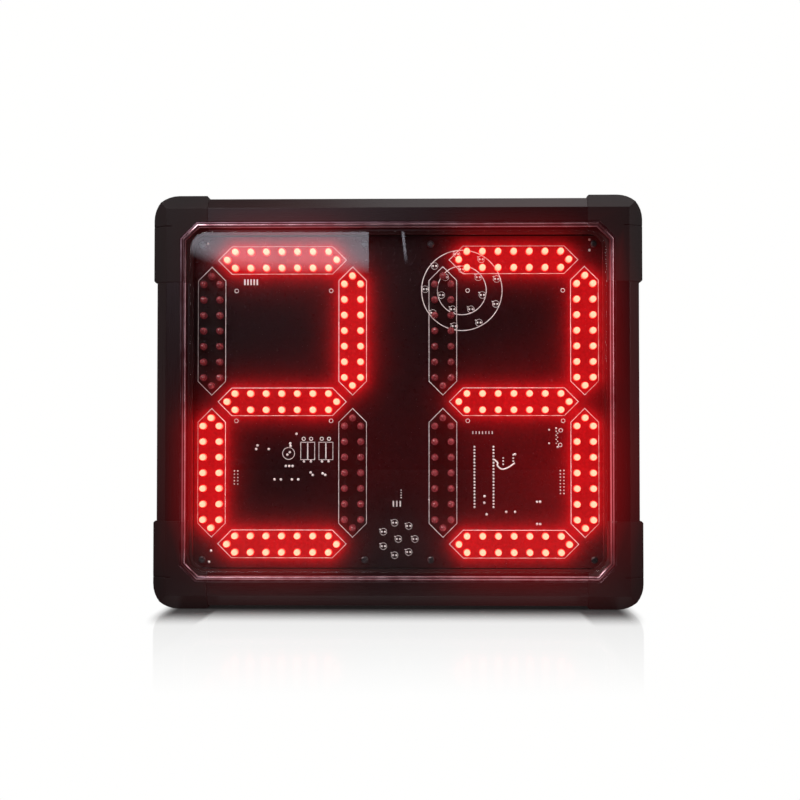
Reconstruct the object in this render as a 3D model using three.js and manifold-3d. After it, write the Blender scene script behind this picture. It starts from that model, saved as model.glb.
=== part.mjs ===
// Two-digit LED shot clock. An extruded aluminium frame with moulded corner caps holds a clear
// window, one LED board on standoffs, and a rear panel with the power supply, horn and inlet.
import * as THREE from 'three';
import { mergeGeometries, mergeVertices } from 'three/addons/utils/BufferGeometryUtils.js';
import Module from 'manifold-3d';

const wasm = await Module();
wasm.setup();

// Driving dimensions in millimetres. Inside the assembly x runs right, y runs back from the
// front face of the frame, and z runs up from the middle of the display.

// Frame rails: an extruded section, u inwards from the outer side and y backwards
const railSpanWide = 384;
const railSpanHigh = 324;
const frameDepth = 75;
const railWidth = 24;
const bevelWidth = 8;
const bevelDepth = 6;
const faceWidth = 11;
const beadRadius = 2.1;
const beadGrooveDepth = 1.2;
const beadSteps = 5;
const railWall = 2;
const faceWall = 3;
const webThickness = 2;
const webDepth = 40;
const ledgeReach = 5;
const panelFlangeReach = 6;
const flangeThickness = 2;
const rearRecess = 7;

// Corner caps
const capProud = 3;
const capLegWide = 44;
const capLegHigh = 70;
const capCornerRadius = 20;
const capCornerSteps = 8;
const capLap = 0.2;
const capInnerChamfer = 10;
const capEndChamfer = 1.5;
const capNotchWidth = 1;
const capNotchDepth = 0.7;
const capNotchLength = 15;
const capNotchDrop = 25.5;
const capCavityStart = 12;
const tongueLength = 25;
const tongueWall = 1.7;
const tongueRoot = 4;

// Clearances and overruns
const seatGap = 0.3;
const slidingGap = 0.3;
const buttGap = 0.2;
const overrun = 1;

// Window and seal
const windowMargin = 2.4;
const windowRadius = 16;
const windowThickness = 3;
const windowSetback = 1.5;
const sealThickness = 0.8;
const sealWidth = 2.2;

// Display: two seven-segment digits, each segment two rows of LEDs and one at each end
const digitSideMargin = 14.4;
const digitInnerMargin = 36.2;
const digitTopMargin = 19.1;
const segmentEndRoom = 36;
const ledPitch = 12.5;
const ledRowSpacing = 13;
const ledDiameter = 5;
const ledHeight = 8.6;
const ledSides = 6;
const ledTipClearance = 4;
const ledRoot = 0.8;
const ledDomeShares = [0.82, 0.36];

// LED board
const boardThickness = 1.6;
const boardSideMargin = 4;
const boardTopMargin = 5;
const boardRadius = 6;
const boardScrewInset = 7;
const boardScrewDrop = 6.5;
const boardInnerScrewX = 26.5;

// Standoffs and machine screws
const standoffDiameter = 5;
const threadDiameter = 3;
const threadClearance = 0.3;
const screwHeadDiameter = 5.6;
const screwHeadHeight = 2;
const boardScrewLength = 8;
const panelScrewLength = 6;
const roundSides = 12;
const screwSides = 8;
const wideArcSteps = 6;
const smallArcSteps = 2;
const threadSides = 6;

// Rear panel
const panelThickness = 2;
const panelScrewInset = 88;
const panelScrewDrop = 78;
const keyholeInset = 48;
const keyholeDrop = 43;
const keyholeHeadDiameter = 10;
const keyholeSlotWidth = 5;
const keyholeSlotLength = 14;
const ventSlotWidth = 3.5;
const ventSlotLength = 32;
const ventSlotPitch = 9;
const ventSlotCount = 5;
const ventSlotFlat = 0.05;
const ventDrop = 25;

// Power supply and its terminal strip
const supplyWide = 99;
const supplyHigh = 82;
const supplyDeep = 28;
const supplySideRoom = 46.5;
const supplyReceiverRoom = 23.8;
const supplyBay = 16;
const supplyFloor = 2;
const terminalWide = 13;
const terminalDeep = 14;
const terminalCount = 5;
const terminalPitch = 14;
const terminalBarrier = 1.6;
const terminalStep = 5;

// Horn
const hornSideRoom = 63;
const hornTopRoom = 59;
const hornRadius = 27;
const hornFlangeThickness = 3;
const hornBodyRadius = 21;
const hornDeep = 24;
const hornMouthRadius = 18;
const hornMouthDepth = 8;
const hornThroatRadius = 6;
const hornSides = 16;

// Mains inlet with switch and fuse
const inletSideRoom = 31;
const inletBottomRoom = 30.5;
const inletFlangeWide = 50;
const inletFlangeHigh = 59;
const inletFlangeThickness = 3;
const inletFlangeRadius = 4;
const inletBodyWide = 28;
const inletBodyRadius = 2;
const inletBodyDeep = 30;
const inletWall = 2.5;
const inletScrewSpacing = 40;
const inletScrewLength = 8;
const socketWide = 22.5;
const socketHigh = 16.5;
const socketDeep = 16;
const socketCornerCut = 4.5;
const pinWide = 4;
const pinThick = 2;
const pinLength = 14;
const pinSpacing = 14;
const pinRaise = 4;
const pinTabLength = 8;
const drawerWide = 22;
const drawerHigh = 8;
const drawerFace = 2;
const drawerTrayInset = 0.5;
const drawerTrayDeep = 20;
const drawerNotchWide = 7;
const drawerNotchHigh = 2.5;
const fuseDiameter = 5;
const fuseCapLength = 5;
const fuseGlassInset = 0.25;
const fuseLength = 20;
const rockerWide = 20;
const rockerHigh = 12.5;
const rockerTilt = 8 * Math.PI / 180;
const rockerPivotDepth = 5;
const rockerEndHeight = 6.2;
const rockerMiddleHeight = 4.6;
const rockerSkirt = 2.5;
const rockerPinRadius = 1.2;
const rockerPinLength = 1.6;

// Parts on the back of the board, placed from the middle of the lower loop of their digit
const headerPitch = 2.54;
const controllerAcross = -23.9;
const controllerUp = -3.05;
const controllerRows = 20;
const controllerRowSpacing = 15.24;
const socketHeight = 4.2;
const chipHeight = 3.8;
const chipInset = 1.4;
const chipNotchRadius = 1.5;
const relayAcross = 27.9;
const relayPitch = 14.8;
const relayUp = 18.15;
const relayWide = 11.2;
const relayHigh = 18.5;
const relayDeep = 12.5;
const relayRadius = 1;
const capacitorAcross = 5.3;
const capacitorUp = 15.55;
const capacitorRadius = 5;
const capacitorHeight = 16;
const capacitorGroove = 0.5;
const capacitorGrooveRise = 2.5;
const capacitorGrooveHalf = 1;
const receiverAcross = -24.9;
const receiverUp = 32.15;
const receiverPins = 7;
const receiverHeaderHeight = 8.5;
const receiverWide = 24;
const receiverThickness = 1.2;
const receiverDeep = 17;
const receiverCanWide = 12;
const receiverCanHeight = 2.4;
const receiverCanDeep = 11;
const ribbonLeftAcross = -37.1;
const ribbonLeftUp = -3.85;
const ribbonLeftRows = 5;
const ribbonRightAcross = 38.1;
const ribbonRightUp = -7.25;
const ribbonRightRows = 8;
const ribbonWall = 1.2;
const ribbonEnd = 2.5;
const ribbonHeight = 9;
const ribbonFloor = 2;
const ribbonPinWidth = 0.7;
const ribbonPinHeight = 6.5;
const powerAcross = 32.6;
const powerUp = 28.35;
const powerWide = 12;
const powerHigh = 9;
const powerDeep = 9;

// Internal leads
const leadRadius = 2.2;
const leadSides = 6;
const leadSteps = 16;
const leadArch = 4;
const leadStraight = 20;
const leadMiddleShare = 0.5;

// Worked-out sizes
const overallWide = railSpanWide + 2 * capProud;
const overallHigh = railSpanHigh + 2 * capProud;
const openingHalfWide = railSpanWide / 2 - railWidth;
const openingHalfHigh = railSpanHigh / 2 - railWidth;
const windowBack = windowSetback + windowThickness;
const ledgeFront = windowBack + sealThickness + 2 * buttGap;
const panelBack = frameDepth - rearRecess;
const panelFront = panelBack - panelThickness;
const flangeBack = panelFront - seatGap;
const ledTip = windowBack + ledTipClearance;
const boardFront = ledTip + ledHeight;
const boardBack = boardFront + boardThickness;
const boardWide = 2 * (openingHalfWide - boardSideMargin);
const boardHigh = 2 * (openingHalfHigh - boardTopMargin);
const boardScrewX = boardWide / 2 - boardScrewInset;
const boardScrewZ = boardHigh / 2 - boardScrewDrop;
const digitHalfWidth = (boardWide / 2 - digitSideMargin - digitInnerMargin) / 2;
const digitHalfHeight = boardHigh / 2 - digitTopMargin;
const digitX = digitInnerMargin + digitHalfWidth;
const loopZ = -digitHalfHeight / 2;
const flatSegmentLeds = 1 + Math.floor((2 * digitHalfWidth - segmentEndRoom) / ledPitch);
const uprightSegmentLeds = 1 + Math.floor((digitHalfHeight - segmentEndRoom) / ledPitch);
const threadRadius = threadDiameter / 2;
const holeRadius = threadRadius + threadClearance;
const panelScrewLine = railWidth + screwHeadDiameter / 2 + seatGap;
const flangeFront = flangeBack - flangeThickness;
const ledgeBack = ledgeFront + flangeThickness;
const faceEnd = bevelWidth + faceWidth;
const windowWide = 2 * (openingHalfWide - windowMargin);
const windowHigh = 2 * (openingHalfHigh - windowMargin);
const panelScrewX = openingHalfWide - panelScrewInset;
const panelScrewZ = openingHalfHigh - panelScrewDrop;
const keyholeX = openingHalfWide - keyholeInset;
const keyholeZ = openingHalfHigh - keyholeDrop;
const hornX = hornSideRoom + hornRadius - openingHalfWide;
const hornZ = openingHalfHigh - hornTopRoom - hornRadius;
const inletX = inletSideRoom + inletFlangeWide / 2 - openingHalfWide;
const inletZ = inletBottomRoom + inletFlangeHigh / 2 - openingHalfHigh;
const inletSeat = panelBack + buttGap;
const inletFace = inletSeat + inletFlangeThickness;
const inletBack = inletFace - inletBodyDeep;
const inletBodyHigh = 4 * inletWall + socketHigh + drawerHigh + rockerHigh + 4 * slidingGap;
const socketZ = inletZ - inletBodyHigh / 2 + inletWall + socketHigh / 2;
const drawerZ = socketZ + socketHigh / 2 + inletWall + slidingGap + drawerHigh / 2;
const rockerZ = drawerZ + drawerHigh / 2 + slidingGap + inletWall + slidingGap + rockerHigh / 2;
const pinTip = inletFace - socketDeep + pinLength;
const pinEnd = inletBack - pinTabLength;
const rockerPivot = inletFace - rockerPivotDepth;
const mountPlane = boardBack + buttGap;
const [controllerX, controllerZ] = [digitX + controllerAcross, loopZ + controllerUp];
const [relayX, relayZ] = [relayAcross - digitX, loopZ + relayUp];
const [capacitorX, capacitorZ] = [capacitorAcross - digitX, loopZ + capacitorUp];
const [receiverX, receiverZ] = [digitX + receiverAcross, loopZ + receiverUp];
const [ribbonLeftX, ribbonLeftZ] = [ribbonLeftAcross - digitX, loopZ + ribbonLeftUp];
const [ribbonRightX, ribbonRightZ] = [digitX + ribbonRightAcross, loopZ + ribbonRightUp];
const [powerX, powerZ] = [digitX + powerAcross, loopZ + powerUp];
const supplyX = openingHalfWide - supplySideRoom - supplyWide / 2;
const supplyZ = receiverZ + supplyReceiverRoom + supplyHigh / 2;
const ventZ = supplyZ - supplyHigh / 2 - ventDrop;
const supplyBack = panelFront - seatGap;
const supplyFront = supplyBack - supplyDeep;
const terminalBack = supplyBack - supplyFloor - buttGap;
const terminalX = supplyX - supplyWide / 2 + supplyBay / 2;
const terminalEndX = terminalX + terminalWide / 2 - terminalBarrier - seatGap;
const terminalEndY = terminalBack - terminalStep - leadRadius - seatGap;

// Finishes
const finish = (color, roughness, metalness) =>
  new THREE.MeshStandardMaterial({ color, roughness, metalness, flatShading: true });
const anodised = finish(0x2c2628, 0.42, 0.7);
const capPlastic = finish(0x262123, 0.5, 0);
const clearAcrylic = new THREE.MeshStandardMaterial({
  color: 0x35282c, roughness: 0.05, metalness: 0, transparent: true, opacity: 0.3 });
const foam = finish(0x141414, 0.9, 0);
const boardMask = finish(0x160a0c, 0.35, 0);
const steel = finish(0xb8b6b2, 0.35, 1);
const zinc = finish(0xa8a9a6, 0.45, 0.9);
const panelPaint = finish(0x1d1c1e, 0.6, 0.3);
const blackPlastic = finish(0x18181a, 0.5, 0);
const greenBoard = finish(0x1c4a2c, 0.5, 0);
const sleeve = finish(0x20242c, 0.4, 0);
const rockerPlastic = finish(0x101012, 0.3, 0);
const brass = finish(0xb99a52, 0.3, 1);
const glass = finish(0xd8dcd8, 0.1, 0);
const cablePvc = finish(0x1a1a1c, 0.55, 0);

// A geometry as one indexed surface, without collapsed triangles
function closedSurface(geometry) {
  const bare = geometry.clone();
  bare.deleteAttribute('normal');
  bare.deleteAttribute('uv');
  const merged = mergeVertices(bare);
  const index = merged.index.array;
  const kept = [];
  for (let i = 0; i < index.length; i += 3) {
    const [a, b, c] = [index[i], index[i + 1], index[i + 2]];
    if (a !== b && b !== c && c !== a) kept.push(a, b, c);
  }
  merged.setIndex(kept);
  return merged;
}

// Six times the volume inside a closed surface, negative where its faces point inwards
function signedVolume(surface) {
  const position = surface.attributes.position;
  const index = surface.index.array;
  const [a, b, c] = [new THREE.Vector3(), new THREE.Vector3(), new THREE.Vector3()];
  let total = 0;
  for (let i = 0; i < index.length; i += 3) {
    a.fromBufferAttribute(position, index[i]);
    b.fromBufferAttribute(position, index[i + 1]);
    c.fromBufferAttribute(position, index[i + 2]);
    total += a.dot(b.cross(c));
  }
  return total;
}

function solid(geometry) {
  const surface = closedSurface(geometry);
  const index = surface.index.array;
  const outward = signedVolume(surface) > 0;
  const triVerts = outward ? Uint32Array.from(index) : Uint32Array.from(index).reverse();
  const vertProperties = Float32Array.from(surface.attributes.position.array);
  return new wasm.Manifold(new wasm.Mesh({ numProp: 3, vertProperties, triVerts }));
}

function surfaceOf(manifold) {
  const mesh = manifold.getMesh();
  const geometry = new THREE.BufferGeometry();
  geometry.setAttribute('position', new THREE.BufferAttribute(Float32Array.from(mesh.vertProperties), 3));
  geometry.setIndex(new THREE.BufferAttribute(Uint32Array.from(mesh.triVerts), 1));
  geometry.computeVertexNormals();
  return geometry;
}

const joined = (first, ...others) => others.reduce((body, other) => body.add(other), first);
const cut = (first, ...others) => others.reduce((body, other) => body.subtract(other), first);

// A block between two corners
function block(low, high) {
  const size = high.map((value, axis) => value - low[axis]);
  const middle = high.map((value, axis) => (value + low[axis]) / 2);
  return solid(new THREE.BoxGeometry(...size).translate(...middle));
}

// A rod along y from front to back
function rod(x, z, radius, front, back, sides = roundSides) {
  const geometry = new THREE.CylinderGeometry(radius, radius, back - front, sides);
  return solid(geometry.translate(x, (front + back) / 2, z));
}

// An outline drawn as seen from the front, x right and z up, run from front to back
function plate(shape, front, back, curveSegments = smallArcSteps) {
  const options = { depth: back - front, bevelEnabled: false, curveSegments };
  const geometry = new THREE.ExtrudeGeometry(shape, options);
  return solid(geometry.rotateX(Math.PI / 2).translate(0, back, 0));
}

const polygon = (points) => new THREE.Shape(points.map(([x, y]) => new THREE.Vector2(x, y)));

function roundedRectangle(wide, high, radius, x = 0, z = 0) {
  const [left, right, bottom, top] = [x - wide / 2, x + wide / 2, z - high / 2, z + high / 2];
  const shape = new THREE.Shape();
  shape.moveTo(left + radius, bottom);
  shape.lineTo(right - radius, bottom);
  shape.absarc(right - radius, bottom + radius, radius, -Math.PI / 2, 0, false);
  shape.absarc(right - radius, top - radius, radius, 0, Math.PI / 2, false);
  shape.absarc(left + radius, top - radius, radius, Math.PI / 2, Math.PI, false);
  shape.absarc(left + radius, bottom + radius, radius, Math.PI, 1.5 * Math.PI, false);
  return shape;
}

// A convex outline, listed anticlockwise, with every side moved outwards by a distance
function moveSides(points, distance) {
  const sides = points.map(([x, y], i) => {
    const [nextX, nextY] = points[(i + 1) % points.length];
    const length = Math.hypot(nextX - x, nextY - y);
    const normal = [(nextY - y) / length, (x - nextX) / length];
    return { normal, reach: normal[0] * x + normal[1] * y + distance };
  });
  return sides.map((side, i) => {
    const before = sides[(i + sides.length - 1) % sides.length];
    const [a, b] = before.normal;
    const [c, d] = side.normal;
    const scale = a * d - b * c;
    return [(d * before.reach - b * side.reach) / scale, (a * side.reach - c * before.reach) / scale];
  });
}

// The frame's opening: a rectangle whose corners the caps cut off
function openingOutline(outset) {
  const [x, z, leg] = [openingHalfWide, openingHalfHigh, capInnerChamfer];
  const points = [[x, leg - z], [x, z - leg], [x - leg, z], [leg - x, z],
    [-x, z - leg], [-x, leg - z], [leg - x, -z], [x - leg, -z]];
  return moveSides(points, outset);
}

// A ring round the opening: a closed section of [u, y] points swept along the opening's outline
function ringAroundOpening(section) {
  const rings = section.map(([u, y]) => openingOutline(railWidth - u).map(([x, z]) => [x, y, z]));
  const corners = rings[0].length;
  const index = [];
  for (let i = 0; i < rings.length; i += 1) {
    for (let j = 0; j < corners; j += 1) {
      const [next, side] = [(i + 1) % rings.length, (j + 1) % corners];
      const [a, b] = [i * corners + j, i * corners + side];
      const [c, d] = [next * corners + j, next * corners + side];
      index.push(a, b, c, b, d, c);
    }
  }
  const geometry = new THREE.BufferGeometry();
  geometry.setAttribute('position', new THREE.Float32BufferAttribute(rings.flat(2), 3));
  geometry.setIndex(index);
  return solid(geometry);
}

// The frame's section: groove and bead beside the flat face
function beadPoints() {
  const centre = railWidth - beadRadius;
  const start = Math.PI + Math.asin((beadRadius - beadGrooveDepth) / beadRadius);
  const arc = Array.from({ length: beadSteps + 1 }, (_, i) => {
    const angle = start + (2 * Math.PI - start) * i / beadSteps;
    return [centre + beadRadius * Math.cos(angle), beadRadius + beadRadius * Math.sin(angle)];
  });
  return [[faceEnd, beadGrooveDepth], ...arc];
}

// The frame's section behind the bead: window ledge, rear ledge and the recess for the panel
function innerSidePoints() {
  const [wall, ledge, flange] = [railWidth, railWidth + ledgeReach, railWidth + panelFlangeReach];
  return [
    [wall, ledgeFront], [ledge, ledgeFront], [ledge, ledgeBack], [wall, ledgeBack],
    [wall, flangeFront], [flange, flangeFront], [flange, flangeBack], [wall, flangeBack],
    [wall, frameDepth]];
}

// The two hollow chambers of a rail, anticlockwise
function frontChamber() {
  const slant = (bevelDepth + railWall - faceWall) * bevelWidth / bevelDepth;
  const [near, far, back] = [railWall, railWidth - railWall, webDepth - webThickness / 2];
  return [[near, back], [near, bevelDepth + railWall], [near + slant, faceWall], [far, faceWall],
    [far, back]];
}

function rearChamber() {
  const [near, far] = [railWall, railWidth - railWall];
  const [front, back] = [webDepth + webThickness / 2, frameDepth - railWall];
  return [[near, front], [far, front], [far, back], [near, back]];
}

// One rail in its own space: u along x, y backwards, its length along z
function railSolid(length, screwAt) {
  const bevel = [[0, bevelDepth], [bevelWidth, 0], [faceEnd, 0]];
  const section = polygon([...bevel, ...beadPoints(), ...innerSidePoints(), [0, frameDepth]]);
  section.holes = [polygon(frontChamber()), polygon(rearChamber())];
  const bar = new THREE.ExtrudeGeometry(section, { depth: length, bevelEnabled: false });
  const holes = [-screwAt, screwAt].map((z) =>
    rod(panelScrewLine, z, holeRadius, flangeFront - overrun, flangeBack + overrun, threadSides));
  return cut(solid(bar.translate(0, 0, -length / 2)), ...holes);
}

// A closed section of [u, y] points run along one leg of a corner cap, by distance from its corner
function alongLeg(points, level, [sideX, sideZ], from, to) {
  const geometry = new THREE.ExtrudeGeometry(polygon(points), { depth: to - from, bevelEnabled: false });
  const inX = new THREE.Vector3(-sideX, 0, 0);
  const inZ = new THREE.Vector3(0, 0, -sideZ);
  const back = new THREE.Vector3(0, 1, 0);
  const [wide, high] = level ? [overallWide, railSpanHigh] : [railSpanWide, overallHigh];
  const [across, along] = level ? [inZ, inX] : [inX, inZ];
  const matrix = new THREE.Matrix4().makeBasis(across, back, along);
  matrix.setPosition(sideX * wide / 2, 0, sideZ * high / 2);
  return solid(geometry.translate(0, 0, from).applyMatrix4(matrix));
}

// The bevel plane's depth at a distance u from the rail's outer side
const bevelAt = (u) => bevelDepth - u * bevelDepth / bevelWidth;

// The cap's outline as seen from the front: a corner block with a round outer corner
function capCornerShape([sideX, sideZ]) {
  const arc = Array.from({ length: capCornerSteps + 1 }, (_, i) => {
    const angle = i / capCornerSteps * Math.PI / 2;
    return [capCornerRadius * (1 - Math.cos(angle)), capCornerRadius * (1 - Math.sin(angle))];
  });
  const outline = [...arc, [capLegWide - capEndChamfer, 0], [capLegWide, capEndChamfer],
    [capLegWide, capLegHigh], [capEndChamfer, capLegHigh], [0, capLegHigh - capEndChamfer]];
  return polygon(outline.map(([a, b]) => [sideX * (overallWide / 2 - a), sideZ * (overallHigh / 2 - b)]));
}

// The part of a ring round the opening that lies in one cap, from the bead to the rear ledge
function capInnerRing([sideX, sideZ]) {
  const start = faceEnd - capLap;
  const section = [[start, beadGrooveDepth], ...beadPoints(), ...innerSidePoints(), [start, frameDepth]];
  const corner = [sideX * overallWide / 2, -overrun, sideZ * overallHigh / 2];
  const inside = [sideX * (overallWide / 2 - capLegWide), frameDepth + overrun,
    sideZ * (overallHigh / 2 - capLegHigh)];
  return ringAroundOpening(section).intersect(block(corner, inside));
}

// A moulded corner cap: hollow legs whose tongues slide into both chambers of each rail
function capSolid(side) {
  const legs = [[true, capLegWide], [false, capLegHigh]];
  const chambers = [frontChamber(), rearChamber()];
  const far = capProud + overrun;
  const outside = bevelAt(bevelWidth + far);
  const bevel = [[-far, bevelAt(-far)], [-far, outside], [bevelWidth + far, outside]];
  const notchEnd = capNotchLength - capProud;
  const notch = [[-far, bevelAt(-far) + capNotchDepth], [-far, outside], [notchEnd, outside],
    [notchEnd, capNotchDepth], [bevelWidth, capNotchDepth]];
  const tongues = legs.flatMap(([level, leg]) => chambers.map((chamber) => alongLeg(
    moveSides(chamber, -slidingGap), level, side, leg - tongueRoot, leg + tongueLength)));
  const cavities = legs.flatMap(([level, leg]) => chambers.map((chamber) => {
    const narrowed = moveSides(chamber, -slidingGap - tongueWall);
    return alongLeg(narrowed, level, side, capCavityStart, leg + tongueLength + overrun);
  }));
  const bevels = legs.map(([level, leg]) => alongLeg(bevel, level, side, -overrun, leg + overrun));
  const opening = plate(polygon(openingOutline(railWidth - faceEnd)), -overrun, frameDepth + overrun);
  const shell = cut(plate(capCornerShape(side), 0, frameDepth), opening, ...bevels,
    alongLeg(notch, false, side, capNotchDrop - capNotchWidth / 2, capNotchDrop + capNotchWidth / 2));
  return cut(joined(shell, capInnerRing(side), ...tongues), ...cavities);
}

// Window with polished rounded corners, and the foam ring that beds it on the frame's ledge
const windowShape = (inset) => roundedRectangle(windowWide - 2 * inset, windowHigh - 2 * inset,
  windowRadius - inset);

const windowSolid = () => plate(windowShape(0), windowSetback, windowBack, wideArcSteps);

function sealSolid() {
  const ring = windowShape(slidingGap);
  ring.holes = [windowShape(slidingGap + sealWidth)];
  return plate(ring, windowBack + buttGap, windowBack + buttGap + sealThickness, wideArcSteps);
}

// The middles of a digit's segments as shares of its half width and half height, lengthwise flat
const flatSegmentShares = [[0, 1], [0, 0], [0, -1]];
const uprightSegmentShares = [[-1, 0.5], [1, 0.5], [-1, -0.5], [1, -0.5]];

// The LED centres of one segment, along its length and across it: two rows and a LED at each end
function segmentLeds(count) {
  const middle = (count - 1) / 2;
  const places = [];
  for (let i = 0; i < count; i += 1) {
    const along = (i - middle) * ledPitch;
    places.push([along, ledRowSpacing / 2], [along, -ledRowSpacing / 2]);
  }
  const tip = middle * ledPitch + ledRowSpacing / 2;
  places.push([tip, 0], [-tip, 0]);
  return places;
}

function displayLeds() {
  return [-digitX, digitX].flatMap((middleX) => [
    ...flatSegmentShares.flatMap(([shareX, shareZ]) => segmentLeds(flatSegmentLeds).map(([along, across]) =>
      [middleX + shareX * digitHalfWidth + along, shareZ * digitHalfHeight + across])),
    ...uprightSegmentShares.flatMap(([shareX, shareZ]) => segmentLeds(uprightSegmentLeds).map(
      ([along, across]) => [middleX + shareX * digitHalfWidth + across, shareZ * digitHalfHeight + along])),
  ]);
}

// One 5 mm LED on the axis y, its root sunk into the board and its dome towards the front
function ledGeometry() {
  const radius = ledDiameter / 2;
  const profile = [[0, ledTip], [radius * ledDomeShares[0], ledTip + radius * ledDomeShares[1]],
    [radius, boardFront + ledRoot], [0, boardFront + ledRoot]];
  return new THREE.LatheGeometry(profile.map(([r, y]) => new THREE.Vector2(r, y)), ledSides);
}

const boardScrewPlaces = [-boardScrewX, -boardInnerScrewX, boardInnerScrewX, boardScrewX]
  .flatMap((x) => [[x, -boardScrewZ], [x, boardScrewZ]]);

function boardSolid() {
  const led = ledGeometry();
  const leds = displayLeds().map(([x, z]) => led.clone().translate(x, 0, z));
  const sheet = plate(roundedRectangle(boardWide, boardHigh, boardRadius), boardFront, boardBack);
  const holes = boardScrewPlaces.map(([x, z]) =>
    rod(x, z, holeRadius, boardFront - overrun, boardBack + overrun, threadSides));
  return cut(joined(sheet, solid(mergeGeometries(leds))), ...holes);
}

// A round standoff clinched to the rear panel, tapped for a board screw
function standoffSolid() {
  const [front, back] = [boardBack + buttGap, panelFront - seatGap];
  const bore = boardScrewLength - boardThickness + overrun;
  const body = rod(0, 0, standoffDiameter / 2, front, back, screwSides);
  return cut(body, rod(0, 0, holeRadius, front - overrun, front + bore, threadSides));
}

// A pan-head screw: its seat at y zero, its head in front of it and its thread behind
function screwSolid(length) {
  const radius = screwHeadDiameter / 2;
  const profile = [[0, -screwHeadHeight], [radius - screwHeadHeight / 2, -screwHeadHeight], [radius, 0],
    [threadRadius, 0], [threadRadius, length], [0, length]];
  return solid(new THREE.LatheGeometry(profile.map(([r, y]) => new THREE.Vector2(r, y)), screwSides));
}

// A keyhole: a round hole for a screw head below the slot for its shank
function keyholeSolid(x, z) {
  const [front, back] = [panelFront - overrun, panelBack + overrun];
  const half = keyholeSlotWidth / 2;
  const top = z + keyholeSlotLength;
  const slot = block([x - half, front, z], [x + half, back, top]);
  return joined(rod(x, z, keyholeHeadDiameter / 2, front, back), slot, rod(x, top, half, front, back));
}

// A column of level vent slots
function ventSolids(x, z) {
  return Array.from({ length: ventSlotCount }, (_, i) => {
    const level = z + (i - (ventSlotCount - 1) / 2) * ventSlotPitch;
    return plate(roundedRectangle(ventSlotLength, ventSlotWidth, ventSlotWidth / 2 - ventSlotFlat, x, level),
      panelFront - overrun, panelBack + overrun);
  });
}

const panelScrewPlaces = [
  ...[-1, 1].flatMap((side) => [-panelScrewX, panelScrewX].map((x) =>
    [x, side * (railSpanHigh / 2 - panelScrewLine)])),
  ...[-1, 1].flatMap((side) => [-panelScrewZ, panelScrewZ].map((z) =>
    [side * (railSpanWide / 2 - panelScrewLine), z])),
];
const inletScrewPlaces = [-inletScrewSpacing / 2, inletScrewSpacing / 2].map((x) => [inletX + x, inletZ]);

function rearPanelSolid() {
  const [front, back] = [panelFront - overrun, panelBack + overrun];
  const sheet = plate(polygon(openingOutline(-seatGap)), panelFront, panelBack);
  const holes = [...panelScrewPlaces, ...inletScrewPlaces].map(([x, z]) =>
    rod(x, z, holeRadius, front, back, threadSides));
  const cutOut = plate(roundedRectangle(inletBodyWide + 2 * slidingGap, inletBodyHigh + 2 * slidingGap,
    inletBodyRadius, inletX, inletZ), front, back);
  return cut(sheet, ...holes, cutOut, keyholeSolid(-keyholeX, keyholeZ), keyholeSolid(keyholeX, keyholeZ),
    ...ventSolids(supplyX, ventZ), ...ventSolids(hornX, hornZ));
}

// The supply's folded case, cut back at its left end to a floor that carries the terminals
function supplySolid() {
  const [left, right] = [supplyX - supplyWide / 2, supplyX + supplyWide / 2];
  const [bottom, top] = [supplyZ - supplyHigh / 2, supplyZ + supplyHigh / 2];
  const caseBlock = block([left + supplyBay, supplyFront, bottom], [right, supplyBack, top]);
  return joined(caseBlock, block([left, supplyBack - supplyFloor, bottom], [right, supplyBack, top]));
}

// A terminal strip: cells between barriers, each open towards the front and the left
function terminalSolid() {
  const half = terminalCount * terminalPitch / 2;
  const [left, right] = [terminalX - terminalWide / 2, terminalX + terminalWide / 2];
  const front = terminalBack - terminalDeep;
  const body = block([left, front, supplyZ - half], [right, terminalBack, supplyZ + half]);
  const cells = Array.from({ length: terminalCount }, (_, i) => {
    const low = supplyZ - half + i * terminalPitch + terminalBarrier;
    return block([left - overrun, front - overrun, low],
      [right - terminalBarrier, terminalBack - terminalStep, low + terminalPitch - 2 * terminalBarrier]);
  });
  return cut(body, ...cells);
}

// The horn: a drum with a flange on the panel and a flared mouth behind the slots
function hornSolid() {
  const seat = panelFront - seatGap;
  const profile = [[0, seat - hornDeep], [hornBodyRadius, seat - hornDeep],
    [hornBodyRadius, seat - hornFlangeThickness], [hornRadius, seat - hornFlangeThickness],
    [hornRadius, seat], [hornMouthRadius, seat], [hornThroatRadius, seat - hornMouthDepth],
    [0, seat - hornMouthDepth]];
  const points = profile.map(([r, y]) => new THREE.Vector2(r, y));
  return solid(new THREE.LatheGeometry(points, hornSides).translate(hornX, 0, hornZ));
}

// The inlet socket's outline, its two upper corners cut off
function socketShape() {
  const [x, z, leg] = [socketWide / 2, socketHigh / 2, socketCornerCut];
  return polygon([[-x, -z], [x, -z], [x, z - leg], [x - leg, z], [leg - x, z], [-x, z - leg]]
    .map(([across, up]) => [inletX + across, socketZ + up]));
}

// The rocker in profile: a skirt below the pivot and a shallow valley above it
const rockerProfile = [[-rockerWide / 2, -rockerSkirt], [rockerWide / 2, -rockerSkirt],
  [rockerWide / 2, rockerEndHeight], [0, rockerMiddleHeight], [-rockerWide / 2, rockerEndHeight]];

// How far the tilted rocker reaches sideways and inwards of its pivot
function rockerSweep() {
  const tilted = [-1, 1].flatMap((side) => rockerProfile.map(([x, y]) => {
    const angle = side * rockerTilt;
    return [x * Math.cos(angle) - y * Math.sin(angle), x * Math.sin(angle) + y * Math.cos(angle)];
  }));
  return { half: Math.max(...tilted.map(([x]) => x)), inwards: -Math.min(...tilted.map(([, y]) => y)) };
}

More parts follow.
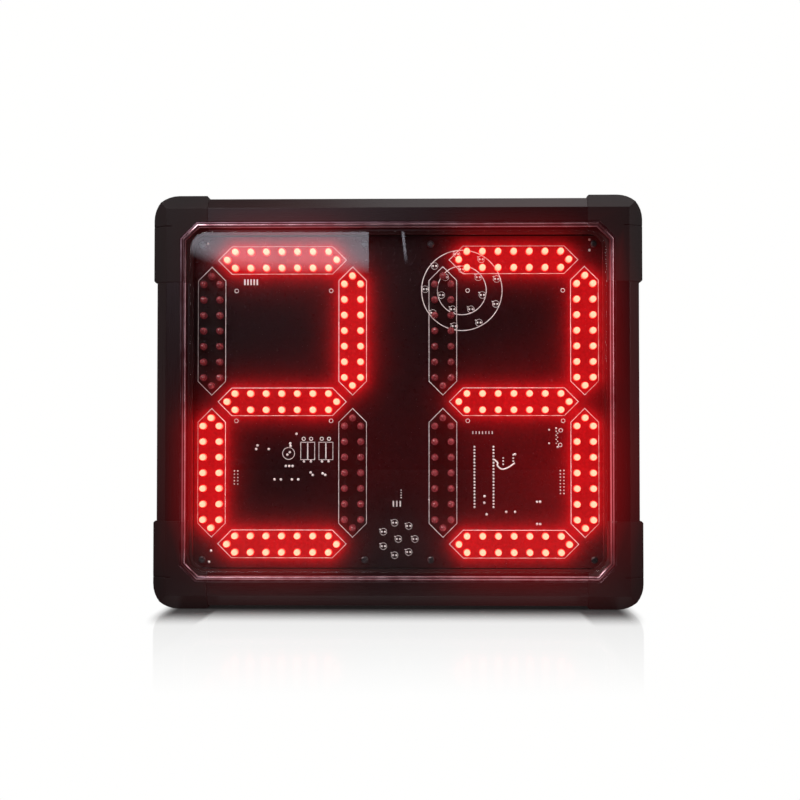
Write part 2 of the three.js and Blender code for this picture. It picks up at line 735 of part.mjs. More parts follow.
// The rocker pressed to its on side, with a trunnion at each end of its pivot
function rockerSolid() {
  const outline = polygon(rockerProfile);
  const body = new THREE.ExtrudeGeometry(outline, { depth: rockerHigh, bevelEnabled: false });
  const length = rockerHigh + 2 * rockerPinLength;
  const pin = new THREE.CylinderGeometry(rockerPinRadius, rockerPinRadius, length, threadSides);
  pin.rotateX(Math.PI / 2);
  return joined(solid(body.translate(0, 0, -rockerHigh / 2)), solid(pin));
}

// The inlet's moulding: a flange on the panel and a body with pockets for socket, fuse and rocker
function inletSolid() {
  const flange = plate(roundedRectangle(inletFlangeWide, inletFlangeHigh, inletFlangeRadius, inletX, inletZ),
    inletSeat, inletFace);
  const body = plate(roundedRectangle(inletBodyWide, inletBodyHigh, inletBodyRadius, inletX, inletZ),
    inletBack, inletFace);
  const out = inletFace + overrun;
  const socket = plate(socketShape(), inletFace - socketDeep, out);
  const drawerHalf = drawerWide / 2 + slidingGap;
  const drawerUp = drawerHigh / 2 + slidingGap;
  const drawerFloor = inletFace - drawerFace - drawerTrayDeep - slidingGap;
  const drawer = block([inletX - drawerHalf, drawerFloor, drawerZ - drawerUp],
    [inletX + drawerHalf, out, drawerZ + drawerUp]);
  const sweep = rockerSweep();
  const rockerHalf = sweep.half + slidingGap;
  const rockerUp = rockerHigh / 2 + slidingGap;
  const rockerFloor = rockerPivot - sweep.inwards - slidingGap;
  const rocker = block([inletX - rockerHalf, rockerFloor, rockerZ - rockerUp],
    [inletX + rockerHalf, out, rockerZ + rockerUp]);
  const trunnionLength = rockerHigh + 2 * rockerPinLength + 2 * slidingGap;
  const bearing = new THREE.CylinderGeometry(rockerPinRadius + slidingGap, rockerPinRadius + slidingGap,
    trunnionLength, threadSides).rotateX(Math.PI / 2).translate(inletX, rockerPivot, rockerZ);
  const pinSlots = inletPinPlaces.map(([x, z]) => block(
    [x - pinThick / 2 - buttGap, inletBack - overrun, z - pinWide / 2 - buttGap],
    [x + pinThick / 2 + buttGap, inletFace - socketDeep + overrun, z + pinWide / 2 + buttGap]));
  const screwHoles = inletScrewPlaces.map(([x, z]) =>
    rod(x, z, holeRadius, inletSeat - overrun, out, threadSides));
  return cut(joined(flange, body), socket, drawer, rocker, solid(bearing), ...pinSlots, ...screwHoles);
}

const inletPinPlaces = [[inletX - pinSpacing / 2, socketZ], [inletX, socketZ + pinRaise],
  [inletX + pinSpacing / 2, socketZ]];

// A contact blade with a tapered tip in the socket and its tab behind the moulding
function inletPinSolid(x, z) {
  const [half, taper] = [pinThick / 2, pinThick / 4];
  const side = polygon([[-half, 0], [half, 0], [half, pinTip - pinEnd - pinThick],
    [taper, pinTip - pinEnd], [-taper, pinTip - pinEnd], [-half, pinTip - pinEnd - pinThick]]);
  const blade = new THREE.ExtrudeGeometry(side, { depth: pinWide, bevelEnabled: false });
  return solid(blade.translate(x, pinEnd, z - pinWide / 2));
}

// The fuse drawer: a face with a finger notch and a tray that holds the fuse
function drawerSolid() {
  const [half, high] = [drawerWide / 2, drawerHigh / 2];
  const face = block([inletX - half, inletFace - drawerFace, drawerZ - high],
    [inletX + half, inletFace, drawerZ + high]);
  const back = inletFace - drawerFace - drawerTrayDeep;
  const tray = block([inletX - half + drawerTrayInset, back, drawerZ - high + drawerTrayInset],
    [inletX + half - drawerTrayInset, inletFace - drawerFace / 2, drawerZ + high - drawerTrayInset]);
  const hollowHalf = fuseLength / 2 + slidingGap;
  const fuseHalf = fuseDiameter / 2 + slidingGap;
  const hollow = block([inletX - hollowHalf, fuseY - fuseHalf, fuseZ - fuseHalf],
    [inletX + hollowHalf, fuseY + fuseHalf, drawerZ + high]);
  const notchHalf = drawerNotchWide / 2;
  const notch = block([inletX - notchHalf, inletFace - drawerFace / 2, drawerZ + high - drawerNotchHigh],
    [inletX + notchHalf, inletFace + overrun, drawerZ + high + overrun]);
  return cut(joined(face, tray), hollow, notch);
}

// A glass fuse lying across the drawer, a metal cap on each end
function fuseSolid() {
  const radius = fuseDiameter / 2;
  const [end, neck] = [fuseLength / 2, fuseLength / 2 - fuseCapLength];
  const profile = [[0, -end], [radius, -end], [radius, -neck], [radius - fuseGlassInset, -neck],
    [radius - fuseGlassInset, neck], [radius, neck], [radius, end], [0, end]];
  const geometry = new THREE.LatheGeometry(profile.map(([r, y]) => new THREE.Vector2(r, y)), roundSides);
  return solid(geometry.rotateZ(Math.PI / 2));
}

// The controller's socket: two contact rails joined at their ends
function controllerSocketSolid() {
  const [wide, high] = [controllerRowSpacing + headerPitch, controllerRows * headerPitch];
  const inner = controllerRowSpacing - headerPitch;
  const shape = roundedRectangle(wide, high, headerPitch / 4, controllerX, controllerZ);
  const window = block([controllerX - inner / 2, mountPlane - overrun, controllerZ - high / 2 + headerPitch],
    [controllerX + inner / 2, mountPlane + socketHeight + overrun, controllerZ + high / 2 - headerPitch]);
  return cut(plate(shape, mountPlane, mountPlane + socketHeight), window);
}

function controllerSolid() {
  const front = mountPlane + socketHeight + buttGap;
  const [wide, high] = [controllerRowSpacing - chipInset, controllerRows * headerPitch];
  const body = plate(roundedRectangle(wide, high, chipInset / 2, controllerX, controllerZ),
    front, front + chipHeight);
  return cut(body, rod(controllerX, controllerZ + high / 2, chipNotchRadius, front + chipHeight / 2,
    front + chipHeight + overrun));
}

const relaySolid = (x) => plate(roundedRectangle(relayWide, relayHigh, relayRadius, x, relayZ),
  mountPlane, mountPlane + relayDeep);

// An electrolytic capacitor: a can with a crimp groove above its seat
function capacitorSolid() {
  const radius = capacitorRadius;
  const neck = radius - capacitorGroove;
  const [low, high] = [capacitorGrooveRise - capacitorGrooveHalf, capacitorGrooveRise + capacitorGrooveHalf];
  const profile = [[0, 0], [radius, 0], [radius, low], [neck, capacitorGrooveRise], [radius, high],
    [radius, capacitorHeight - capacitorGroove], [neck, capacitorHeight], [0, capacitorHeight]];
  const geometry = new THREE.LatheGeometry(profile.map(([r, y]) => new THREE.Vector2(r, y)), roundSides);
  return solid(geometry.translate(capacitorX, mountPlane, capacitorZ));
}

// The receiver's header on the board, and its module standing on the header with a shield can
function receiverHeaderSolid() {
  const half = receiverPins * headerPitch / 2;
  return block([receiverX - half, mountPlane, receiverZ - headerPitch / 2],
    [receiverX + half, mountPlane + receiverHeaderHeight, receiverZ + headerPitch / 2]);
}

function receiverSolid() {
  const front = mountPlane + receiverHeaderHeight + buttGap;
  const back = front + receiverDeep;
  const low = receiverZ - receiverThickness / 2;
  const high = receiverZ + receiverThickness / 2;
  const card = block([receiverX - receiverWide / 2, front, low], [receiverX + receiverWide / 2, back, high]);
  const canFront = front + (receiverDeep - receiverCanDeep) / 2;
  const can = block([receiverX - receiverCanWide / 2, canFront, receiverZ],
    [receiverX + receiverCanWide / 2, canFront + receiverCanDeep, high + receiverCanHeight]);
  return joined(card, can);
}

// A box header: two rows of pins inside a shroud
function ribbonHeaderSolid(x, z, rows) {
  const wide = 2 * headerPitch + 2 * ribbonWall + ribbonPinWidth;
  const high = rows * headerPitch + 2 * ribbonEnd;
  const outline = roundedRectangle(wide, high, ribbonWall / 2, x, z);
  const shell = plate(outline, mountPlane, mountPlane + ribbonHeight);
  const pocket = block(
    [x - wide / 2 + ribbonWall, mountPlane + ribbonFloor, z - high / 2 + ribbonWall],
    [x + wide / 2 - ribbonWall, mountPlane + ribbonHeight + overrun, z + high / 2 - ribbonWall]);
  const pins = [];
  for (let row = 0; row < rows; row += 1) {
    const pinZ = z + (row - (rows - 1) / 2) * headerPitch;
    for (const pinX of [x - headerPitch / 2, x + headerPitch / 2]) {
      const half = ribbonPinWidth / 2;
      pins.push(block([pinX - half, mountPlane + ribbonFloor / 2, pinZ - half],
        [pinX + half, mountPlane + ribbonPinHeight, pinZ + half]));
    }
  }
  return joined(cut(shell, pocket), ...pins);
}

const powerConnectorSolid = () => plate(roundedRectangle(powerWide, powerHigh, ribbonWall, powerX, powerZ),
  mountPlane, mountPlane + powerDeep);

// A lead through a list of points, its ends cut square
function leadSolid(points) {
  const curve = new THREE.CatmullRomCurve3(points.map((point) => new THREE.Vector3(...point)));
  const ring = Array.from({ length: leadSides }, (_, i) => {
    const angle = 2 * Math.PI * i / leadSides;
    return [leadRadius * Math.cos(angle), leadRadius * Math.sin(angle)];
  });
  return solid(new THREE.ExtrudeGeometry(polygon(ring), { steps: leadSteps, extrudePath: curve }));
}

const beside = (point, by) => [point[0] + by, point[1], point[2]];
const between = (start, end, share) => start.map((value, axis) => value + (end[axis] - value) * share);

// The mains lead runs from the side of the inlet's nearest tab to the lowest terminal
function mainsLeadSolid() {
  const start = [inletX + pinSpacing / 2 + pinThick / 2 + seatGap, pinEnd + pinTabLength / 2, socketZ];
  const end = [terminalEndX, terminalEndY, supplyZ - (terminalCount - 1) / 2 * terminalPitch];
  const [leave, arrive] = [beside(start, leadStraight), beside(end, -leadStraight)];
  return leadSolid([start, leave, between(leave, arrive, leadMiddleShare), arrive, end]);
}

// The low-voltage lead leaves the front of the top terminal, rounds the supply and ends at the
// board's connector
function supplyLeadSolid() {
  const startZ = supplyZ + (terminalCount - 1) / 2 * terminalPitch;
  const start = [terminalX - terminalBarrier / 2, terminalBack - terminalStep - seatGap, startZ];
  const end = [powerX, mountPlane + powerDeep + seatGap, powerZ];
  const level = (boardBack + supplyFront) / 2;
  return leadSolid([start, [start[0], supplyFront, startZ],
    [start[0] + supplyBay, level, startZ - supplyBay], [supplyX, level, supplyZ - supplyHigh / 2],
    [powerX - powerWide, level + leadArch, powerZ + leadArch / 2],
    [powerX, end[1] + 2 * leadArch, powerZ], end]);
}

// Where the fuse lies in its drawer
const fuseY = inletFace - drawerFace - fuseDiameter;
const fuseZ = drawerZ;

const assembly = new THREE.Group();
assembly.name = 'assembly';
assembly.position.set(0, -frameDepth / 2, overallHigh / 2);

function add(name, manifold, material, parent = assembly) {
  const mesh = new THREE.Mesh(surfaceOf(manifold), material);
  mesh.name = name;
  parent.add(mesh);
  return mesh;
}

// A piece built at its own origin, then placed and turned
function place(mesh, position, rotation = [0, 0, 0]) {
  mesh.position.set(...position);
  mesh.rotation.set(...rotation);
  return mesh;
}

const levelLength = overallWide - 2 * capLegWide - 2 * buttGap;
const uprightLength = overallHigh - 2 * capLegHigh - 2 * buttGap;
const rails = [
  ['frame_rail_top', levelLength, panelScrewX, [0, 0, railSpanHigh / 2], Math.PI / 2],
  ['frame_rail_bottom', levelLength, panelScrewX, [0, 0, -railSpanHigh / 2], -Math.PI / 2],
  ['frame_rail_left', uprightLength, panelScrewZ, [-railSpanWide / 2, 0, 0], 0],
  ['frame_rail_right', uprightLength, panelScrewZ, [railSpanWide / 2, 0, 0], Math.PI],
];
for (const [name, length, screwAt, position, turn] of rails) {
  place(add(name, railSolid(length, screwAt), anodised), position, [0, turn, 0]);
}

for (const [high, sideZ] of [['top', 1], ['bottom', -1]]) {
  for (const [wide, sideX] of [['left', -1], ['right', 1]]) {
    add(`corner_cap_${high}_${wide}`, capSolid([sideX, sideZ]), capPlastic);
  }
}

add('front_window', windowSolid(), clearAcrylic);
add('window_seal', sealSolid(), foam);
add('led_board', boardSolid(), boardMask);

boardScrewPlaces.forEach(([x, z], i) => {
  place(add(`board_standoff_${i + 1}`, standoffSolid(), zinc), [x, 0, z]);
  place(add(`board_screw_${i + 1}`, screwSolid(boardScrewLength), steel), [x, boardFront - buttGap, z]);
});

add('controller_socket', controllerSocketSolid(), blackPlastic);
add('controller_chip', controllerSolid(), blackPlastic);
add('output_relay_1', relaySolid(relayX - relayPitch / 2), blackPlastic);
add('output_relay_2', relaySolid(relayX + relayPitch / 2), blackPlastic);
add('reservoir_capacitor', capacitorSolid(), sleeve);
add('receiver_header', receiverHeaderSolid(), blackPlastic);
add('receiver_module', receiverSolid(), greenBoard);
add('ribbon_header_left', ribbonHeaderSolid(ribbonLeftX, ribbonLeftZ, ribbonLeftRows), blackPlastic);
add('ribbon_header_right', ribbonHeaderSolid(ribbonRightX, ribbonRightZ, ribbonRightRows), blackPlastic);
add('power_connector', powerConnectorSolid(), blackPlastic);
add('power_supply', supplySolid(), zinc);
add('supply_terminals', terminalSolid(), blackPlastic);
add('horn', hornSolid(), blackPlastic);
add('mains_lead', mainsLeadSolid(), cablePvc);
add('supply_lead', supplyLeadSolid(), cablePvc);

add('rear_panel', rearPanelSolid(), panelPaint);
panelScrewPlaces.forEach(([x, z], i) => {
  const screw = add(`rear_panel_screw_${i + 1}`, screwSolid(panelScrewLength), steel);
  place(screw, [x, panelBack + buttGap, z], [Math.PI, 0, 0]);
});

add('inlet_body', inletSolid(), blackPlastic);
['live', 'earth', 'neutral'].forEach((name, i) => {
  add(`inlet_pin_${name}`, inletPinSolid(...inletPinPlaces[i]), brass);
});
inletScrewPlaces.forEach(([x, z], i) => {
  const screw = add(`inlet_screw_${i + 1}`, screwSolid(inletScrewLength), steel);
  place(screw, [x, inletFace + buttGap, z], [Math.PI, 0, 0]);
});
place(add('power_rocker', rockerSolid(), rockerPlastic), [inletX, rockerPivot, rockerZ], [0, 0, rockerTilt]);
add('fuse_drawer', drawerSolid(), blackPlastic);
place(add('fuse', fuseSolid(), glass), [inletX, fuseY, fuseZ]);

const shotClock = new THREE.Group();
shotClock.add(assembly);

export default shotClock;
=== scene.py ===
# %% [markdown]
# # A two-digit LED shot clock
# The clock is a shallow box: an extruded aluminium frame with moulded corner caps, a clear acrylic
# window, and behind it one black circuit board that carries 224 red LEDs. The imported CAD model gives
# every piece its size and place. This lesson dresses those pieces: it gives each its real finish, and
# it models what is too fine for the CAD solids, such as the round LEDs and the ink on the board.

# %% Load the frame
import math

import bmesh
import bpy
import numpy as np
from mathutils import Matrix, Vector
from mathutils.geometry import tessellate_polygon


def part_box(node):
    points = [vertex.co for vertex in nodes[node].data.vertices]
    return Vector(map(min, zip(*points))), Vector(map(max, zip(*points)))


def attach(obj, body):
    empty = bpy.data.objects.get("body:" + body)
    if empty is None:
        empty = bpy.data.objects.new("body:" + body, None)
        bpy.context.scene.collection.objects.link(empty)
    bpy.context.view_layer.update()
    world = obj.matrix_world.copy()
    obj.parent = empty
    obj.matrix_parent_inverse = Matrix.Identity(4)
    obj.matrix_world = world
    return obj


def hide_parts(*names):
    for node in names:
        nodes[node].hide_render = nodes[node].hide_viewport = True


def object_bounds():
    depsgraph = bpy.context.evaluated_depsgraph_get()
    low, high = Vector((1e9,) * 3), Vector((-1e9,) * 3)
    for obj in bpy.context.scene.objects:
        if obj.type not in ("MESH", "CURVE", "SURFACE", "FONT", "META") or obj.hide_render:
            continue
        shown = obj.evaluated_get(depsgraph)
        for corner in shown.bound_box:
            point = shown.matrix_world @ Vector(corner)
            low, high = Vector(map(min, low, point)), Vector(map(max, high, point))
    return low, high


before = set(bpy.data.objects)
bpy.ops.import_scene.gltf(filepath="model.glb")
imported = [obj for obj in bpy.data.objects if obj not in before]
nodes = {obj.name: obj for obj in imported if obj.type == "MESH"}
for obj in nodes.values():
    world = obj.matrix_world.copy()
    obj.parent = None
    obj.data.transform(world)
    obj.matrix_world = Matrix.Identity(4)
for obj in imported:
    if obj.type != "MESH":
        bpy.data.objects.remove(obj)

MM = 0.001
cad_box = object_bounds()
print("CAD box in metres:", [[round(value, 4) for value in corner] for corner in cad_box])

# %% [markdown]
# ## Camera
# The photograph looks at the clock nearly square on, from a little to the right of its middle and a
# little below it. A long lens at 1.25 m keeps the frame's sides parallel. The camera is made first, so
# that every later choice can be judged from the real viewpoint.

# %% The camera
CAMERA_PLACE = Vector((0.031, -1.279, 0.134))
CAMERA_AIM = Vector((0.0020, -0.029, 0.1662))
LENS_MM = 70.6

scene = bpy.context.scene
camera = bpy.data.objects.new("camera", bpy.data.cameras.new("camera"))
scene.collection.objects.link(camera)
camera.location = CAMERA_PLACE
camera.rotation_euler = (CAMERA_AIM - CAMERA_PLACE).to_track_quat("-Z", "Y").to_euler()
camera.data.lens = LENS_MM
scene.camera = camera
scene.view_settings.view_transform = "Standard"
print("camera distance:", round((CAMERA_AIM - CAMERA_PLACE).length, 3), "m")

# %% [markdown]
# ## Two helpers for materials
# A colour is written as the sRGB hex value that a colour picker shows, and one function turns it into
# the linear numbers that a shader works with. A node is added by one function that takes the node's
# kind, its settings and its inputs, where an input is a number, a colour or another node's output.

# %% Colour and node helpers
def linear(hex_colour):
    """sRGB to linear: a share up to 0.04045 is divided by 12.92, and a larger one has 0.055 added,
    is divided by 1.055 and raised to the power 2.4."""
    share = np.array([int(hex_colour[i:i + 2], 16) / 255 for i in (1, 3, 5)])
    rgb = np.where(share <= 0.04045, share / 12.92, ((share + 0.055) / 1.055) ** 2.4)
    return (*rgb.tolist(), 1.0)


def add(tree, kind, settings=None, inputs=None):
    """Adds a node of one kind to a tree, applies its settings, and sets or links its inputs. An input
    is a value, an output, or a node, whose first output is then meant. The setting "stops" holds the
    places and hex colours of a colour ramp."""
    made = tree.nodes.new(kind)
    for name, value in (settings or {}).items():
        if name != "stops":
            setattr(made, name, value)
            continue
        for element, (place, colour) in zip(made.color_ramp.elements, value):
            element.position, element.color = place, linear(colour)
    for name, value in (inputs or {}).items():
        if isinstance(value, bpy.types.Node):
            value = value.outputs[0]
        if isinstance(value, bpy.types.NodeSocket):
            tree.links.new(value, made.inputs[name])
        else:
            made.inputs[name].default_value = value
    return made


def new_material(name):
    """A material with an empty node tree: the material, its tree, its output node, and the output
    that gives a point's place in the object, in metres."""
    material = bpy.data.materials.new(name)
    material.use_nodes = True
    tree = material.node_tree
    tree.nodes.clear()
    output = tree.nodes.new("ShaderNodeOutputMaterial")
    return material, tree, output, add(tree, "ShaderNodeTexCoord").outputs["Object"]

# %% [markdown]
# ## Helpers for meshes
# Every new shape here is a grid of points that numpy works out as one array: a profile carried along
# a path, or a profile turned about an axis. The grid's faces follow from its rows and columns. When a
# piece is made, Blender turns the faces of each closed shell outwards, and only then is it shaded.

# %% Mesh helpers
def grid_faces(rows, columns, wrap_rows=False, wrap_columns=False):
    """The four-sided faces of a grid of points, listed row after row, optionally closed on itself."""
    row, column = np.meshgrid(np.arange(rows if wrap_rows else rows - 1),
                              np.arange(columns if wrap_columns else columns - 1), indexing="ij")
    next_row, next_column = (row + 1) % rows, (column + 1) % columns
    corners = [row * columns + column, next_row * columns + column,
               next_row * columns + next_column, row * columns + next_column]
    return np.stack(corners, -1).reshape(-1, 4)


SMOOTH_BELOW = math.radians(35)
EDGE_STEPS = 3


def finished(name, mesh, material, body):
    """A mesh as a piece that rides on a body. Edges that turn by less than SMOOTH_BELOW are shaded
    smooth, and large faces outweigh small ones where they meet, so that a flat face stays flat up to
    its rounded edge."""
    mesh.materials.append(material)
    mesh.shade_smooth()
    mesh.set_sharp_from_angle(angle=SMOOTH_BELOW)
    piece = bpy.data.objects.new(name, mesh)
    scene.collection.objects.link(piece)
    even_normals = piece.modifiers.new("even_normals", "WEIGHTED_NORMAL")
    even_normals.keep_sharp = True
    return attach(piece, body)


def make_piece(name, shape, material, body="housing"):
    """A piece from a shape: its points in metres and its arrays of faces, which are turned outwards."""
    points, faces = shape
    mesh = bpy.data.meshes.new(name)
    mesh.from_pydata(points.tolist(), [], [face for group in faces for face in group.tolist()])
    shell = bmesh.new()
    shell.from_mesh(mesh)
    bmesh.ops.recalc_face_normals(shell, faces=shell.faces)
    shell.to_mesh(mesh)
    shell.free()
    return finished(name, mesh, material, body)


def store(piece, name, values):
    """Stores one number per point of a piece's mesh."""
    piece.data.attributes.new(name, "FLOAT", "POINT").data.foreach_set("value", values)


def vectors_of(items, name):
    """One property of all points or all faces of a mesh, such as their place, as rows of x, y, z."""
    flat = np.empty(3 * len(items))
    items.foreach_get(name, flat)
    return flat.reshape(-1, 3)


def places_of(piece):
    """The points of a piece's mesh."""
    return vectors_of(piece.data.vertices, "co")


def revolved(profile, sides):
    """A profile of (radius, y) points turned about the y axis. Its first and last points lie on the
    axis and become single points, so that the surface is closed."""
    profile = np.asarray(profile, float)
    turn = 2 * np.pi * np.arange(sides) / sides
    rings = np.stack([profile[1:-1, :1] * np.cos(turn), np.repeat(profile[1:-1, 1:], sides, 1),
                      profile[1:-1, :1] * np.sin(turn)], -1).reshape(-1, 3)
    points = np.vstack([[0, profile[0, 1], 0], rings, [0, profile[-1, 1], 0]])
    around = np.arange(sides)
    following = (around + 1) % sides
    pole = np.zeros(sides, int)
    last_ring = len(points) - 1 - sides
    far_pole = pole + len(points) - 1
    fans = np.vstack([np.stack([pole, 1 + following, 1 + around], -1),
                      np.stack([far_pole, last_ring + around, last_ring + following], -1)])
    return points, [grid_faces(len(profile) - 2, sides, wrap_columns=True) + 1, fans]


def copied(shape, places):
    """One shape repeated at each place: its points moved there, and its faces counted on."""
    points, faces = shape
    places = np.asarray(places, float)
    moved = (points[None] + places[:, None]).reshape(-1, 3)
    step = np.arange(len(places))[:, None, None] * len(points)
    return moved, [(group[None] + step).reshape(-1, group.shape[1]) for group in faces]


def gathered(shapes):
    """Several shapes as one."""
    points, faces, count = [], [], 0
    for shape_points, shape_faces in shapes:
        points.append(shape_points)
        faces += [group + count for group in shape_faces]
        count += len(shape_points)
    return np.vstack(points), faces


def rounded(corners, radii, steps=4):
    """An outline whose corners are rounded: a curve leaves each side at the radius divided by the
    tangent of half the corner's angle, and bends through (1-t)^2 A + 2t(1-t) P + t^2 B."""
    corners = np.asarray(corners, float)
    t = np.linspace(0, 1, steps + 1)[:, None]
    previous, following = np.roll(corners, 1, 0), np.roll(corners, -1, 0)
    outline = []
    for point, before, after, radius in zip(corners, previous, following, radii):
        if radius == 0:
            outline.append(point[None])
            continue
        back = (before - point) / np.linalg.norm(before - point)
        on = (after - point) / np.linalg.norm(after - point)
        half = math.acos(np.clip(back @ on, -1, 1)) / 2
        reach = radius / math.tan(half)
        start, end = point + back * reach, point + on * reach
        outline.append((1 - t) ** 2 * start + 2 * t * (1 - t) * point + t ** 2 * end)
    return np.vstack(outline)


def moved_left(loop, distance):
    """A closed loop of (x, z) points moved to its left: along the sum of its two sides' normals,
    divided by one plus their dot product."""
    along = np.roll(loop, -1, 0) - loop
    normal = np.stack([-along[:, 1], along[:, 0]], -1) / np.linalg.norm(along, axis=1)[:, None]
    before = np.roll(normal, 1, 0)
    return loop + distance * (normal + before) / (1 + np.sum(normal * before, 1))[:, None]


def walled(stacks):
    """A solid with holes from stacks of rings, one stack for its outline and one for each hole: arrays
    of rows of (x, y, z) points. A stack becomes a wall, and all first and all last rings are joined by
    triangles that close the two ends."""
    sizes = [stack.shape[0] * stack.shape[1] for stack in stacks]
    starts = np.cumsum([0, *sizes[:-1]])
    faces = [grid_faces(*stack.shape[:2], wrap_columns=True) + start
             for stack, start in zip(stacks, starts)]
    for row in (0, len(stacks[0]) - 1):
        rings = [start + row * stack.shape[1] + np.arange(stack.shape[1])
                 for stack, start in zip(stacks, starts)]
        corners = [[Vector(point) for point in stack[row]] for stack in stacks]
        faces.append(np.concatenate(rings)[np.array(tessellate_polygon(corners))])
    return np.vstack([stack.reshape(-1, 3) for stack in stacks]), faces


def layered(loops, rows, shares=None):
    """A solid with holes, from loops of (x, z) points. The first loop is its outline, anticlockwise,
    and the others are holes, clockwise, so that the material is always on the left. Each row is an
    (inset, y) pair: every loop moved left by the inset times its own share, at that depth."""
    shares = shares or [1.0] * len(loops)
    return walled([np.stack([np.insert(moved_left(loop, inset * share), 1, y, 1) for inset, y in rows])
                   for loop, share in zip(loops, shares)])


def edge_rows(y, edge, inwards):
    """Rows of a rounded edge that starts at depth y: inset edge (1 - sin a), depth edge (1 - cos a)."""
    angle = np.linspace(0, np.pi / 2, EDGE_STEPS + 1)
    return np.stack([edge * (1 - np.sin(angle)), y + inwards * edge * (1 - np.cos(angle))], -1)


def plate(loops, front, back, edge):
    """A plate with holes between two depths, both its edges rounded to the radius edge."""
    return layered(loops, [*edge_rows(front, edge, 1), *edge_rows(back, edge, -1)[::-1]])


def circle(x, z, radius, sides, clockwise=False):
    """Points (x + r cos a, z + r sin a) round a circle."""
    turn = 2 * np.pi * np.arange(sides) / sides * (-1 if clockwise else 1)
    return np.stack([x + radius * np.cos(turn), z + radius * np.sin(turn)], -1)


def rectangle(x, z, wide, high):
    """The four corners of a rectangle about (x, z), anticlockwise."""
    return np.array([x, z]) + np.array([[-1, -1], [1, -1], [1, 1], [-1, 1]]) * [wide / 2, high / 2]

# %% [markdown]
# ## Where the LEDs stand
# Each digit has seven segments, lettered a to g as usual: a is the top bar, b and c run down the right
# side, d is the bottom bar, e and f run up the left side, and g is the middle bar. A segment holds two
# rows of seven LEDs and one more at each pointed end. The clock reads 23.

# %% The display's layout, in millimetres
LED_PITCH = 12.5
LED_ROW_SPACING = 13.0
LEDS_PER_ROW = 7
DIGIT_SPACING = 185.8
DIGIT_HALF_WIDTH = 56.7
DIGIT_HALF_HEIGHT = 113.9
SEGMENT_MIDDLES = {"a": (0, 1), "b": (1, 0.5), "c": (1, -0.5), "d": (0, -1), "e": (-1, -0.5),
                   "f": (-1, 0.5), "g": (0, 0)}
LEVEL_SEGMENTS = "adg"
LIT_SEGMENTS = {"2": "abged", "3": "abgcd"}
READING = "23"

board_low, board_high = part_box("led_board")
MIDDLE_Z = (board_low.z + board_high.z) / 2
BOARD_THICKNESS = 1.6 * MM
board_back = board_high.y
board_front = board_back - BOARD_THICKNESS


def segment_leds(level):
    """LED centres about a segment's own middle: two rows at the pitch, half the row spacing to each
    side, and a LED at each end, half the row spacing past the last."""
    along = (np.arange(LEDS_PER_ROW) - (LEDS_PER_ROW - 1) / 2) * LED_PITCH
    tip = along[-1] + LED_ROW_SPACING / 2
    rows = [np.stack([along, np.full_like(along, side * LED_ROW_SPACING / 2)], -1) for side in (1, -1)]
    places = np.vstack([*rows, [[tip, 0], [-tip, 0]]])
    return places if level else places[:, ::-1]


def segment_places():
    """Yields each segment's digit, letter, middle in millimetres and whether it is lit."""
    for digit, side in zip(READING, (-0.5, 0.5)):
        for letter, (share_x, share_z) in SEGMENT_MIDDLES.items():
            middle = np.array([side * DIGIT_SPACING + share_x * DIGIT_HALF_WIDTH,
                               share_z * DIGIT_HALF_HEIGHT])
            yield digit, letter, middle, letter in LIT_SEGMENTS[digit]


def led_places(lit):
    """The (x, z) places in millimetres of all LEDs that are lit, or of all that are not."""
    return np.vstack([middle + segment_leds(letter in LEVEL_SEGMENTS)
                      for _, letter, middle, is_lit in segment_places() if is_lit == lit])


lit_leds, unlit_leds = led_places(True), led_places(False)
print(len(lit_leds), "LEDs are lit and", len(unlit_leds), "are not")

# %% [markdown]
# ## The LEDs
# A 5 mm LED is cast epoxy: a flange at its foot, a cylinder and a dome. Its profile is turned about
# the LED's axis and repeated at every place. There are 224 of them, so one LED has only a few dozen
# faces, and smooth shading rounds the rest.

# %% The LED's shape
LED_RADIUS = 2.5 * MM
LED_FLANGE_RADIUS = 2.9 * MM
LED_FLANGE_HEIGHT = 1.0 * MM
LED_HEIGHT = 8.6 * MM
LED_SIDES = 12
DOME_ANGLES = np.radians([28, 52, 72, 90])


def led_profile():
    """From the tip to the foot: a quarter circle of the LED's radius, a straight side and a flange."""
    middle = board_front - LED_HEIGHT + LED_RADIUS
    arc = [(LED_RADIUS * math.sin(a), middle - LED_RADIUS * math.cos(a)) for a in DOME_ANGLES]
    flange = board_front - LED_FLANGE_HEIGHT
    return [(0, middle - LED_RADIUS), *arc, (LED_RADIUS, flange), (LED_FLANGE_RADIUS, flange),
            (LED_FLANGE_RADIUS, board_front), (0, board_front)]


def led_shape(places):
    """LEDs at (x, z) places in millimetres from the display's middle."""
    x, z = places.T * MM
    return copied(revolved(led_profile(), LED_SIDES), np.stack([x, 0 * x, z + MIDDLE_Z], -1))

# %% [markdown]
# ## Red epoxy, lit and unlit
# The epoxy is dyed red and a little cloudy. A lit LED is so bright that a camera sees its middle as
# pale cream: red is far past what the picture can hold, green and blue are just inside it. So the
# emission colour has red well above 1, and its red light still falls on what is round it. A vertex
# attribute says how far each point lies from the LED's axis, and the rim turns to pure red.

# %% LED materials
CREAM_CORE = (6.0, 0.90, 0.56, 1)
RED_RIM = (2.6, 0.06, 0.04, 1)
UNLIT_GLOW = (1.0, 0.10, 0.13, 1)
UNLIT_SCATTER = 0.7
UNLIT_LEAST = 0.06


